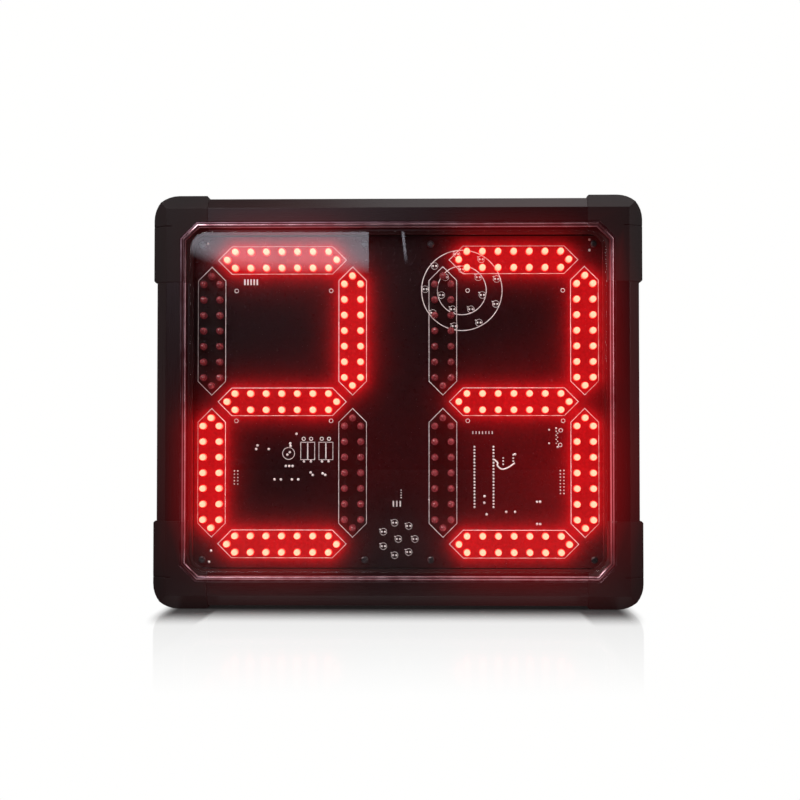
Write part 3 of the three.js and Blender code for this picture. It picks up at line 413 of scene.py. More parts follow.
def lit_epoxy():
    """Red epoxy over a bright chip: cream in the middle and pure red at the rim."""
    material, tree, output, _ = new_material("red_epoxy_led_lit")
    rim = add(tree, "ShaderNodeAttribute", {"attribute_name": "rim"}).outputs["Fac"]
    edge = add(tree, "ShaderNodeMapRange", {"interpolation_type": "SMOOTHSTEP"},
               {"Value": rim, "From Min": 0.90, "From Max": 1.10})
    colour = add(tree, "ShaderNodeMix", {"data_type": "RGBA"},
                 {0: edge, 6: CREAM_CORE, 7: RED_RIM}).outputs[2]
    shader = add(tree, "ShaderNodeBsdfPrincipled", inputs={
        "Base Color": linear("#7a0b0e"), "Roughness": 0.25, "IOR": 1.5,
        "Emission Color": colour, "Emission Strength": 1.0})
    tree.links.new(shader.outputs[0], output.inputs[0])
    return material


def unlit_epoxy():
    """Dull red epoxy with a painted glow: it gives off a trace of red that stands for the light of its
    neighbours that it scatters, a fixed part and a part of the light stored on it."""
    material, tree, output, place = new_material("red_epoxy_led_unlit")
    cloud = add(tree, "ShaderNodeTexNoise", inputs={"Vector": place, "Scale": 1 / (2.5 * MM)})
    tone = add(tree, "ShaderNodeValToRGB", {"stops": [(0.3, "#401216"), (0.7, "#6b3236")]}, {"Fac": cloud})
    light = add(tree, "ShaderNodeAttribute", {"attribute_name": "light"}).outputs["Fac"]
    glow = add(tree, "ShaderNodeMath", {"operation": "MULTIPLY_ADD"},
               {0: light, 1: UNLIT_SCATTER, 2: UNLIT_LEAST})
    shader = add(tree, "ShaderNodeBsdfPrincipled", inputs={
        "Base Color": tone, "Roughness": 0.16, "IOR": 1.5, "Coat Weight": 0.6,
        "Coat Roughness": 0.08, "Emission Color": UNLIT_GLOW, "Emission Strength": glow})
    tree.links.new(shader.outputs[0], output.inputs[0])
    return material

# %% [markdown]
# ## All LEDs as two pieces
# Lit and unlit LEDs differ only in their epoxy, so each kind is one piece. Its LEDs follow one another
# in its mesh, a fixed number of points each, so one array sum gives every point's way to its own axis.

# %% Make the LEDs
def store_rim(piece, places):
    """Stores how far each point is from its LED's axis, as a share of the LED's radius."""
    points = places_of(piece).reshape(len(places), -1, 3)[..., [0, 2]]
    axes = places * MM + [0, MIDDLE_Z]
    store(piece, "rim", np.linalg.norm(points - axes[:, None], axis=2).ravel() / LED_RADIUS)


leds_lit = make_piece("led_domes_lit", led_shape(lit_leds), lit_epoxy())
store_rim(leds_lit, lit_leds)
leds_unlit = make_piece("led_domes_unlit", led_shape(unlit_leds), unlit_epoxy())
print("one LED has", len(leds_lit.data.polygons) // len(lit_leds), "faces")

# %% [markdown]
# ## The circuit board
# The board is glass-fibre laminate under a glossy black solder mask. Its front is a fine grid, because
# each point stores how much red light reaches it: a sum over all lit LEDs of a term that falls slowly
# at first and then with the fourth power of the distance. The grid's corners are drawn in to a round.

# %% The board's shape and the light on it
BOARD_RADIUS = 6.0 * MM
GRID_STEP = 1.5 * MM
GLOW_REACH = 8.0
GLOW_GAIN = 0.80
GLOW_MOST = 0.64
HAZES = [(0.10, (112.0, -52.0), 52.0), (0.025, (-30.0, -52.0), 30.0)]
SEGMENT_HALF_LENGTH = 51.6
SEGMENT_HALF_WIDTH = 11.1


def perimeter(rows, columns):
    """The indices round the edge of a grid of points, in order."""
    index = np.arange(rows * columns).reshape(rows, columns)
    return np.concatenate([index[0, :-1], index[:-1, -1], index[-1, :0:-1], index[:0:-1, 0]])


def board_shape():
    """A grid over the board's front, whose corner squares are pulled in to quarter discs by the factor
    max(a, b) / hypot(a, b), then a band round the edge and a fan over the back."""
    half = np.array([board_high.x - board_low.x, board_high.z - board_low.z]) / 2
    counts = np.round(2 * half / GRID_STEP).astype(int) + 1
    x, z = np.meshgrid(*[np.linspace(-h, h, n) for h, n in zip(half, counts)])
    flat = np.stack([x, z], -1).reshape(-1, 2)
    excess = np.abs(flat) - (half - BOARD_RADIUS)
    corner = (excess > 0).all(1)
    pull = excess[corner].max(1) / np.linalg.norm(excess[corner], axis=1)
    flat[corner] = np.sign(flat[corner]) * (half - BOARD_RADIUS + excess[corner] * pull[:, None])
    edge = perimeter(counts[1], counts[0])
    front = np.stack([flat[:, 0], np.full(len(flat), board_front), flat[:, 1] + MIDDLE_Z], -1)
    back = front[edge] + [0, BOARD_THICKNESS, 0]
    behind = len(front) + np.arange(len(edge))
    following = np.roll(behind, -1)
    band = np.stack([edge, np.roll(edge, -1), following, behind], -1)
    fan = np.stack([behind, following, np.full(len(edge), len(front) + len(edge))], -1)
    centre = [[0, board_back, MIDDLE_Z]]
    return np.vstack([front, back, centre]), [grid_faces(counts[1], counts[0]), band, fan]


def millimetres(points):
    """The (x, z) of points in metres, in millimetres from the display's middle."""
    return points[:, [0, 2]] / MM - [0, MIDDLE_Z / MM]


def light_on(points):
    """The sum over the lit LEDs of gain / (1 + (distance / reach)^2)^2, held at a most, with broad
    hazes exp(-(distance / width)^2 / 2): a strong one at the lower right, where the photograph glows
    most, and a faint one left of the middle."""
    place = millimetres(points)
    light = sum(most * np.exp(-((place - middle) ** 2).sum(1) / width ** 2 / 2)
                for most, middle, width in HAZES)
    for led in lit_leds:
        distance_squared = ((place - led) ** 2).sum(1)
        light += GLOW_GAIN / (1 + distance_squared / GLOW_REACH ** 2) ** 2
    return np.minimum(light, GLOW_MOST)


def inside_segments(points):
    """1 inside a segment's pointed outline: across is less than its half width, and along and across
    together less than its half length."""
    inside = np.zeros(len(points))
    for _, letter, middle, _ in segment_places():
        offset = np.abs(millimetres(points) - middle)
        along, across = offset.T if letter in LEVEL_SEGMENTS else offset.T[::-1]
        inside[(across < SEGMENT_HALF_WIDTH) & (along + across < SEGMENT_HALF_LENGTH)] = 1
    return inside

# %% [markdown]
# ## Solder mask
# Solder mask is a thin epoxy ink, printed and baked: glossy, slightly wavy over the copper, and so
# black that most of what shows in it is reflection. The red light is the stored attribute, given off
# by the surface itself, because a real path-traced glow of 160 LEDs would stay noisy for hours.

# %% Solder mask material and the board
RED_LIGHT = (1.0, 0.006, 0.011, 1)
UNLIT_LOW_GAIN = 0.08
UNLIT_LOW_RISE = 60.0


def solder_mask():
    """Glossy black ink that gives off the stored light, a little patchy, as the copper under it is."""
    material, tree, output, place = new_material("black_solder_mask_printed")
    light = add(tree, "ShaderNodeAttribute", {"attribute_name": "light"}).outputs["Fac"]
    inside = add(tree, "ShaderNodeAttribute", {"attribute_name": "inside"}).outputs["Fac"]
    cloud = add(tree, "ShaderNodeTexNoise", inputs={"Vector": place, "Scale": 1 / (30 * MM)})
    speckle = add(tree, "ShaderNodeTexNoise", inputs={
        "Vector": place, "Scale": 1 / (2.5 * MM), "Detail": 3.0})
    blotches = add(tree, "ShaderNodeMath", {"operation": "ADD"}, {0: cloud, 1: speckle})
    patchy = add(tree, "ShaderNodeMapRange", inputs={
        "Value": blotches, "From Min": 0.5, "From Max": 1.5, "To Min": 0.65, "To Max": 1.35})
    strength = add(tree, "ShaderNodeMath", {"operation": "MULTIPLY"}, {0: light, 1: patchy})
    # Outside the segments the black is a little redder, painted red haze; inside them it is darker
    base = add(tree, "ShaderNodeMix", {"data_type": "RGBA"},
               {0: inside, 6: linear("#0b0406"), 7: linear("#080404")}).outputs[2]
    copper = add(tree, "ShaderNodeTexNoise", inputs={"Vector": place, "Scale": 1 / (6 * MM)})
    wavy = add(tree, "ShaderNodeBump", inputs={
        "Strength": 0.12, "Distance": 0.3 * MM, "Height": copper})
    fine = add(tree, "ShaderNodeTexNoise", inputs={"Vector": place, "Scale": 1 / (2 * MM)})
    gloss = add(tree, "ShaderNodeMapRange", inputs={"Value": fine, "To Min": 0.24, "To Max": 0.34})
    shader = add(tree, "ShaderNodeBsdfPrincipled", inputs={
        "Base Color": base, "Roughness": gloss, "IOR": 1.5, "Specular IOR Level": 0.15, "Normal": wavy,
        "Emission Color": RED_LIGHT, "Emission Strength": strength})
    tree.links.new(shader.outputs[0], output.inputs[0])
    return material


shape = board_shape()
board = make_piece("board_laminate", shape, solder_mask())
on_front = shape[0][:, 1] < board_front + BOARD_THICKNESS / 2
store(board, "light", light_on(shape[0]) * on_front)
store(board, "inside", inside_segments(shape[0]) * on_front)
# Painted glow on the unlit LEDs: the board's stored light, and more towards the bottom of the display
unlit_points = places_of(leds_unlit)
lower_half = np.clip(0.5 - millimetres(unlit_points)[:, 1] / UNLIT_LOW_RISE, 0, 1)
store(leds_unlit, "light", light_on(unlit_points) + UNLIT_LOW_GAIN * lower_half)
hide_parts("led_board")
print("the board has", len(board.data.polygons), "faces")

# %% [markdown]
# ## Ink, pads and solder on the board
# White ink outlines the segments and the footprints of parts, and solder fills the holes where parts
# on the back are fixed. Each line is a thin raised strip with its own thickness, and each solder
# joint is a low dome. Where a footprint has no regular grid, its place is read off the photograph, in
# pixels, and one function turns pixels to millimetres on the board.

# %% Strips of ink and domes of solder
INK_HEIGHT = 0.05 * MM
INK_SUNK = 0.02 * MM
SEGMENT_LINE = 0.42
THIN_LINE = 0.55
RING_SIDES = 20
DOME_SIDES = 10
PHOTO_MIDDLE = np.array([397.5, 401.5])
PIXELS_PER_MM = np.array([1.2385, -1.2426])


def on_board(pixels):
    """Photograph pixels to millimetres from the display's middle."""
    return (np.asarray(pixels, float) - PHOTO_MIDDLE) / PIXELS_PER_MM


def hoop(outer, inner, front, back):
    """A closed band between two loops of (x, z) points of the same length and between two depths: the
    four corners of its section are four rings of points."""
    corners = ((outer, back), (outer, front), (inner, front), (inner, back))
    points = np.vstack([np.insert(loop, 1, y, 1) for loop, y in corners])
    return points, [grid_faces(4, len(outer), wrap_rows=True, wrap_columns=True)]


def outline_of(loop, line):
    """Ink along a closed loop, in millimetres."""
    outer, inner = (moved_left(loop, side * line / 2) * MM + [0, MIDDLE_Z] for side in (-1, 1))
    return hoop(outer, inner, board_front - INK_HEIGHT, board_front + INK_SUNK)


def patch(loop):
    """An area of ink or bare pad inside a loop in millimetres: a low prism."""
    outline = loop * MM + [0, MIDDLE_Z]
    points = np.vstack([np.insert(outline, 1, y, 1) for y in
                        (board_front - INK_HEIGHT, board_front + INK_SUNK)])
    end = np.arange(len(loop))[None]
    return points, [grid_faces(2, len(loop), wrap_columns=True), end, end + len(loop)]


def bars(places, wide, high):
    """A rectangular patch at each place."""
    return [patch(rectangle(x, z, wide, high)) for x, z in places]


def rings(places, radius, line=THIN_LINE):
    """A round line at each place."""
    return [outline_of(circle(x, z, radius, RING_SIDES), line) for x, z in places]


def solder_domes(places, radius):
    """Low domes: a quarter ellipse, as high as half its radius."""
    angle = np.radians([0, 30, 60, 90])
    profile = [(radius * MM * math.sin(a), board_front - radius * MM * math.cos(a) / 2) for a in angle]
    x, z = np.asarray(places, float).T * MM
    dome = revolved([*profile, (0, board_front + INK_SUNK)], DOME_SIDES)
    return copied(dome, np.stack([x, 0 * x, z + MIDDLE_Z], -1))

# %% [markdown]
# ## Lines round the segments and the indicators
# A pointed line round each segment lets a dark one still read as part of its digit. Two groups of small
# lamps have a ring and two soldered holes for each lamp, and the larger group has two circles round it.
# A line is a loop of points with a strip of ink along it, so a segment and a circle are made alike.

# %% Lines round the segments and the two round indicators
def segment_outline(middle, level):
    """Six corners: the tips, and the ends of the straight sides, 45 degrees in from the tips."""
    length, width = SEGMENT_HALF_LENGTH, SEGMENT_HALF_WIDTH
    straight = length - width
    corners = np.array([[length, 0], [straight, width], [-straight, width], [-length, 0],
                        [-straight, -width], [straight, -width]])
    return middle + (corners if level else corners[:, ::-1][::-1])


def around(middle, radius, count, start=0.0):
    """Evenly spaced places round a circle."""
    turn = np.radians(start) + 2 * np.pi * np.arange(count) / count
    return middle + radius * np.stack([np.cos(turn), np.sin(turn)], -1)


LARGE_INDICATOR = on_board([461.2, 290.4])
SMALL_INDICATOR = on_board([398.1, 538.0])
INDICATOR_RADII = (32.3, 19.6)
OUTER_LAMPS = around(LARGE_INDICATOR, 29.4, 9, -22)
INNER_LAMPS = around(LARGE_INDICATOR, 16.9, 7, 90)
SMALL_LAMPS = np.vstack([around(SMALL_INDICATOR, 13.3, 7), SMALL_INDICATOR[None]])
lamp_places = np.vstack([OUTER_LAMPS, INNER_LAMPS, SMALL_LAMPS])
LAMP_RING_RADIUS = 2.7
LAMP_LINE = 0.25
LAMP_PAD_SPACING = 2.54
LAMP_PAD_RADIUS = 0.8
LAMP_TICK = 1.1
INDICATOR_SIDES = 72

ink = [outline_of(segment_outline(middle, letter in LEVEL_SEGMENTS), SEGMENT_LINE)
       for _, letter, middle, _ in segment_places()]
ink += [outline_of(circle(*LARGE_INDICATOR, radius, INDICATOR_SIDES), THIN_LINE)
        for radius in INDICATOR_RADII]
ink += rings(lamp_places, LAMP_RING_RADIUS, LAMP_LINE)
ink += bars(lamp_places + [-LAMP_RING_RADIUS, LAMP_RING_RADIUS * 0.75], LAMP_TICK, LAMP_TICK / 2)
pads = [solder_domes(lamp_places + [side * LAMP_PAD_SPACING / 2, 0], LAMP_PAD_RADIUS)
        for side in (-1, 1)]
print("outlined", len(ink), "shapes so far")

# %% [markdown]
# ## Footprints
# The parts behind the board are soldered through it, so their pins show in front: two rows of twenty
# for the controller, pairs for the two ribbon headers. The controller's grid is worked out from its
# pitch. The others have no place that a rule would give, so they are read off the photograph.

# %% Footprints of the parts on the back
HEADER_PITCH = 2.54
CONTROLLER_MIDDLE = np.array([69.05, -60.25])
CONTROLLER_ROWS = 20
CONTROLLER_ROW_SPACING = 15.24
RECEIVER_PINS = on_board([[472 + 3.2 * i, 432.3] for i in range(7)])
NETWORK_PADS = on_board([[245 + 3.1 * i, 281.8] for i in range(5)])
LAMP_DRIVER_PADS = on_board([[393.2 + 3.4 * i, 503] for i in range(3)])
LAMP_DRIVER_COLUMN = on_board([[400.9, 489.5 + 2.5 * i] for i in range(4)])
RIBBON_LEFT = on_board([[x, 470.5 + 3.25 * i] for i in range(5) for x in (235, 238.4)])
RIBBON_RIGHT = on_board([[x, 470 + 3.25 * i] for i in range(8) for x in (558.5, 562)])
POWER_PADS = on_board([[547.5, 429.5], [547.5, 443], [554.5, 428], [556, 446.5]])
POWER_RINGS = on_board([[559, 430], [558.5, 444.5]])
POWER_COLUMN = on_board([[554.5 + 1.4 * (i % 2), 431 + 2.0 * i] for i in range(7)])
RELAY_MIDDLES = on_board([[308, 450.5], [326.1, 450.5]])
RELAY_RINGS = on_board([[304, 438.4], [311.4, 438.4], [322, 438.4], [329.2, 438.4]])
RELAY_PINS = on_board([[304.3, 461], [311.2, 461], [322.3, 461], [328.8, 461]])
CAPACITOR_MIDDLE = on_board([289, 453])
LOOSE_JOINTS = on_board([
    [258, 445], [256.7, 448.7], [269.2, 448.7], [296.9, 433.5], [290.6, 443], [291, 445.5],
    [286.2, 465.6], [289.7, 465.6], [293, 465.6], [275, 479], [281.4, 479], [292.4, 479],
    [298.7, 479], [311, 472], [313, 474.5], [323, 473], [325.5, 474.5], [483.5, 495.5],
    [483.3, 502], [485.5, 513.5], [505, 511], [513.7, 511], [513.8, 453.8],
    [535.5, 501], [538.5, 501], [535.5, 523], [538.5, 523],
    [588, 232], [588, 240], [588, 250.5], [208, 243], [210, 561], [212, 550]])
TRANSISTOR_JOINTS = on_board([[x, y + 3.1 * i]
                              for x, y in ((502, 457.5), (512, 454.5)) for i in range(3)])
TEST_HOLES = np.array([[side * DIGIT_SPACING / 2 + x, z]
                       for side in (-1, 1) for x in (-36.8, 39.4) for z in (89.3, -15.3)])
RELAY_SIZE = (11.2, 14.0)
FOOTPRINT_LINE = 0.4


def pin_rows(middle, columns, rows, column_spacing, pitch):
    """A grid of pins about a middle."""
    x = (np.arange(columns) - (columns - 1) / 2) * column_spacing
    z = (np.arange(rows) - (rows - 1) / 2) * pitch
    return middle + np.stack(np.meshgrid(x, z), -1).reshape(-1, 2)


controller_pins = pin_rows(CONTROLLER_MIDDLE, 2, CONTROLLER_ROWS, CONTROLLER_ROW_SPACING, HEADER_PITCH)
fine_pins = np.vstack([RIBBON_LEFT, RIBBON_RIGHT, POWER_COLUMN, LAMP_DRIVER_COLUMN])
capacitor_pins = CAPACITOR_MIDDLE + [[-1, -1], [1, 1]]
for places, joint_radius in ((controller_pins, 0.85), (LOOSE_JOINTS, 1.05), (TRANSISTOR_JOINTS, 0.7),
                             (RELAY_PINS, 1.0), (fine_pins, 0.55), (POWER_PADS, 0.8),
                             (capacitor_pins, 1.0)):
    pads.append(solder_domes(places, joint_radius))
for places, pad_wide, pad_high in ((RECEIVER_PINS, 0.8, 2.2), (NETWORK_PADS, 1.2, 4.6),
                                   (LAMP_DRIVER_PADS, 1.1, 4.6), (RELAY_MIDDLES, 0.9, 12.5)):
    pads += bars(places, pad_wide, pad_high)
ink += [outline_of(rectangle(*middle, *RELAY_SIZE), FOOTPRINT_LINE) for middle in RELAY_MIDDLES]
for places, ring_radius, line in (([CAPACITOR_MIDDLE], 4.8, FOOTPRINT_LINE), (RELAY_RINGS, 1.3, THIN_LINE),
                                  (POWER_RINGS, 1.4, THIN_LINE), (TEST_HOLES, 1.5, FOOTPRINT_LINE)):
    ink += rings(places, ring_radius, line)
print("drew", len(ink), "lines and", len(pads), "groups of joints and pads")

# %% [markdown]
# ## Ink and solder
# Board ink is a matt white epoxy, printed through a screen, so its edges are even and its surface
# chalky. Solder is tin: a bright metal whose domes catch one small highlight each.

# %% Ink and solder materials
def board_ink():
    """White epoxy ink: chalky and a little worn."""
    material, tree, output, place = new_material("white_board_ink_screened")
    wear = add(tree, "ShaderNodeTexNoise", inputs={"Vector": place, "Scale": 1 / (3 * MM)})
    worn = add(tree, "ShaderNodeValToRGB", {"stops": [(0.35, "#d8cdcb"), (0.6, "#f6f0ee")]}, {"Fac": wear})
    chalk = add(tree, "ShaderNodeTexNoise", inputs={"Vector": place, "Scale": 1 / (0.5 * MM)})
    rough = add(tree, "ShaderNodeMapRange", inputs={"Value": chalk, "To Min": 0.6, "To Max": 0.8})
    shader = add(tree, "ShaderNodeBsdfPrincipled", inputs={"Base Color": worn, "Roughness": rough})
    tree.links.new(shader.outputs[0], output.inputs[0])
    return material


def tin_solder():
    """Tin that has flowed: pale, a little grainy, with a soft highlight."""
    material, tree, output, place = new_material("tin_solder_flowed")
    grain = add(tree, "ShaderNodeTexNoise", inputs={"Vector": place, "Scale": 1 / (0.6 * MM)})
    tone = add(tree, "ShaderNodeValToRGB", {"stops": [(0.3, "#dcd8d6"), (0.7, "#fbf9f6")]}, {"Fac": grain})
    flow = add(tree, "ShaderNodeTexNoise", inputs={"Vector": place, "Scale": 1 / (1.5 * MM)})
    rough = add(tree, "ShaderNodeMapRange", inputs={"Value": flow, "To Min": 0.25, "To Max": 0.42})
    shader = add(tree, "ShaderNodeBsdfPrincipled", inputs={
        "Base Color": tone, "Metallic": 0.3, "Roughness": rough})
    tree.links.new(shader.outputs[0], output.inputs[0])
    return material


for name, shapes, finish in (("board_ink_lines", ink, board_ink()),
                             ("board_solder_joints", pads, tin_solder())):
    piece = make_piece(name, gathered(shapes), finish)
    print(name, "has", len(piece.data.polygons), "faces")

# %% [markdown]
# ## The frame's rails
# Each rail is a length of extruded aluminium: a bevel along the outer front edge, a flat face, a narrow
# groove, and a round bead beside the window. The section is drawn once, with the die's small radii
# on its corners and its two hollow chambers, and carried along each side.

# %% The extruded section, in millimetres from the rail's outer side and from the front
RAIL_WIDTH = 24.0
FRAME_DEPTH = 75.0
BEVEL = (8.0, 6.0)
FACE_END = 19.0
GROOVE_DEPTH = 1.2
BEAD_RADIUS = 2.1
BEAD_STEPS = 14
WINDOW_LEDGE = (5.7, 7.7, 5.0)
PANEL_FLANGE = (63.7, 65.7, 6.0)
WALL = 2.0
FACE_WALL = 3.0
WEB = (39.0, 41.0)
DIE_RADIUS = 0.45
SOFT_RADIUS = 0.8
STRETCH = 12.0 * MM
# The outer side has one more row of points here, where the LEDs' haze on it ends
HAZE_END = 11.0


def bead_points():
    """The bead's arc, from the foot of the groove over its top to the wall beside the window."""
    start = math.pi + math.asin((BEAD_RADIUS - GROOVE_DEPTH) / BEAD_RADIUS)
    angle = np.linspace(start, 2 * math.pi, BEAD_STEPS + 1)
    arc = BEAD_RADIUS * np.stack([np.cos(angle), np.sin(angle)], -1)
    return arc + [RAIL_WIDTH - BEAD_RADIUS, BEAD_RADIUS]


def rail_section():
    """The outer outline and the two chambers, as loops of (inwards, backwards) points."""
    (bevel_u, bevel_y), (ledge_front, ledge_back, ledge) = BEVEL, WINDOW_LEDGE
    flange_front, flange_back, flange = PANEL_FLANGE
    front = rounded([[0, bevel_y], [bevel_u, 0], [FACE_END, 0], [FACE_END, GROOVE_DEPTH]],
                    [0, SOFT_RADIUS, DIE_RADIUS, 0])[1:]
    inner = [[RAIL_WIDTH, ledge_front], [RAIL_WIDTH + ledge, ledge_front],
             [RAIL_WIDTH + ledge, ledge_back], [RAIL_WIDTH, ledge_back], [RAIL_WIDTH, flange_front],
             [RAIL_WIDTH + flange, flange_front], [RAIL_WIDTH + flange, flange_back],
             [RAIL_WIDTH, flange_back]]
    back = rounded([[RAIL_WIDTH, flange_back], [RAIL_WIDTH, FRAME_DEPTH], [0, FRAME_DEPTH],
                    [0, HAZE_END], [0, bevel_y], [bevel_u, 0]],
                   [0, DIE_RADIUS, DIE_RADIUS, 0, SOFT_RADIUS, 0])[1:-1]
    slant = (bevel_y + WALL - FACE_WALL) * bevel_u / bevel_y
    far = RAIL_WIDTH - WALL
    chambers = [[[WALL, WEB[0]], [WALL, bevel_y + WALL], [WALL + slant, FACE_WALL], [far, FACE_WALL],
                 [far, WEB[0]]],
                [[WALL, WEB[1]], [far, WEB[1]], [far, FRAME_DEPTH - WALL], [WALL, FRAME_DEPTH - WALL]]]
    return [np.vstack([front, bead_points(), inner, back]), *map(np.array, chambers)]


def carried(loops, start, end, place):
    """Loops carried from start to end along a rail and closed at both ends: place turns arrays of
    (inwards, backwards, along) into points. They stop every few millimetres, because the light that a
    point stores can change along the rail."""
    stations = np.linspace(start, end, 1 + round((end - start) / STRETCH))
    points, faces = walled([np.stack([np.insert(loop, 2, along, 1) for along in stations])
                            for loop in loops])
    return place(points), faces


def rail_shape(side):
    """One rail. Its outer side, its front and its two ends come from the CAD node's box."""
    low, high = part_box("frame_rail_" + side)
    level = side in ("top", "bottom")
    outer = {"top": high.z, "bottom": low.z, "left": low.x, "right": high.x}[side]
    inwards = -1 if side in ("top", "right") else 1
    span = (low.x, high.x) if level else (low.z, high.z)

    def place(points):
        u, y, along = points.T * [[MM], [MM], [1]]
        across = outer + inwards * u
        return np.stack([along, low.y + y, across] if level else [across, low.y + y, along], -1)

    return carried(rail_section(), *span, place)

# %% [markdown]
# ## The LEDs' light on the frame
# The lit LEDs throw a red haze on the frame too, so its front stores the same sum of light as the
# board and gives it off as painted haze. The bead mirrors them as two thin pale lines. A mirrored row of
# small lamps would stay noisy, so those lines are painted highlights stored on the points as well.

# %% Light stored on the frame
CAP_PROUD = 3.0 * MM
BEAD_FROM = 19.4 * MM
BEAD_TO = 36.0 * MM
BEAD_DEPTH = 2.3 * MM
HAZE_FRONT = 6.0 * MM
HAZE_OUTER_DEPTH = HAZE_END * MM - HAZE_FRONT
HAZE_INNER_DEPTH = 26.0 * MM
FRAME_PAINTED_HAZE = 0.004
OPENING_CHAMFER = 10.0 * MM
# The bead's two painted highlights, which stand for the lit LEDs mirrored in it
GLINT_LINES = (21.3 * MM, 23.3 * MM)
GLINT_WIDTH = 0.42 * MM


def inwards_of(places):
    """How far points lie inwards from the rails' outer sides, across and up, in metres."""
    low, high = (np.array(corner) for corner in cad_box)
    return np.minimum(places - low, high - places)[:, [0, 2]] - CAP_PROUD


def glints_on(places):
    """1 along two thin lines on the bead and 0 elsewhere: the sum of exp(-(off / width)^2), where off
    is how far a point is from a line. Inwards means towards the opening, whose corners are cut off."""
    inwards, rail = inwards_of(places), RAIL_WIDTH * MM
    at_corner = (inwards.sum(1) - OPENING_CHAMFER - 2 * rail) / math.sqrt(2) + rail
    inwards = np.minimum(inwards.min(1), at_corner)
    return sum(np.exp(-((inwards - line) / GLINT_WIDTH) ** 2) for line in GLINT_LINES)


def catch_light(piece):
    """Stores the LEDs' light on a piece of the frame as painted red haze: the board's sum and a faint even
    haze. It fades behind the front, soon on the outer sides and slowly on the walls that look at the
    LEDs. Stores the bead's painted glints too."""
    places = places_of(piece)
    behind = places[:, 1] - cad_box[0][1] - HAZE_FRONT
    looks_in = inwards_of(places).min(1) > BEAD_FROM
    depth = np.where(looks_in, HAZE_INNER_DEPTH, HAZE_OUTER_DEPTH)
    light = light_on(places) + FRAME_PAINTED_HAZE
    store(piece, "light", light * (1 - np.clip(behind / depth, 0, 1)))
    store(piece, "glint", glints_on(places))


def rub_bead_and_paint_glints(piece, finish):
    """Gives the bead's faces their finish, polished by rubbing and with painted glints: those whose middle
    lies further inwards than the groove, not far past the opening, and in front of the bead's axis."""
    mesh = piece.data
    mesh.materials.append(finish)
    middle = vectors_of(mesh.polygons, "center")
    inwards = inwards_of(middle).min(1)
    behind = middle[:, 1] - cad_box[0][1]
    is_bead = (inwards > BEAD_FROM) & (inwards < BEAD_TO) & (behind < BEAD_DEPTH)
    mesh.polygons.foreach_set("material_index", is_bead.astype(np.int32))

# %% [markdown]
# ## Black anodised aluminium
# Anodising grows a hard oxide on the metal, and a dye in it makes it black. The trace of red-brown in
# its colour is painted red haze from the LEDs. The extrusion die leaves fine lines along the rail, which
# stay visible through the oxide: they stretch every highlight along the rail. The bead has been polished
# brighter by rubbing, and it carries painted glints.

# %% Anodised aluminium materials and the rails
DIE_LINE_MM = 0.35
DIE_LINE_SQUEEZE = 0.01
# Colour and strength of the bead's painted glints and of its painted haze
GLINT_COLOUR = (1.0, 0.22, 0.26, 1)
GLINT_GAIN = 3.3
BEAD_GAIN = 0.85


def anodised(level):
    """Black anodised aluminium, its die lines running along x if level and else along z."""
    material, tree, output, place = new_material(
        "aluminium_black_anodised_" + ("level" if level else "upright"))
    squeeze = (DIE_LINE_SQUEEZE, 1, 1) if level else (1, 1, DIE_LINE_SQUEEZE)
    stretched = add(tree, "ShaderNodeMapping", inputs={"Vector": place, "Scale": squeeze})
    drawn = add(tree, "ShaderNodeTexNoise", inputs={
        "Vector": stretched, "Scale": 1 / (DIE_LINE_MM * MM), "Detail": 4.0})
    grain = add(tree, "ShaderNodeTexNoise", inputs={"Vector": place, "Scale": 1 / (0.4 * MM)})
    relief = add(tree, "ShaderNodeMath", {"operation": "MULTIPLY_ADD"}, {0: grain, 1: 0.35, 2: drawn})
    bump = add(tree, "ShaderNodeBump", inputs={"Strength": 0.10, "Distance": 0.05 * MM, "Height": relief})
    dye = add(tree, "ShaderNodeTexNoise", inputs={"Vector": place, "Scale": 1 / (45 * MM)})
    # Both stops carry a slight red-brown: painted red haze from the LEDs
    tone = add(tree, "ShaderNodeValToRGB", {"stops": [(0.3, "#0b0608"), (0.7, "#140b0d")]}, {"Fac": dye})
    rough = add(tree, "ShaderNodeMapRange", inputs={"Value": drawn, "To Min": 0.22, "To Max": 0.36})
    light = add(tree, "ShaderNodeAttribute", {"attribute_name": "light"}).outputs["Fac"]
    shader = add(tree, "ShaderNodeBsdfPrincipled", inputs={
        "Base Color": tone, "Metallic": 0.35, "Roughness": rough, "Normal": bump,
        "Emission Color": RED_LIGHT, "Emission Strength": light})
    tree.links.new(shader.outputs[0], output.inputs[0])
    return material


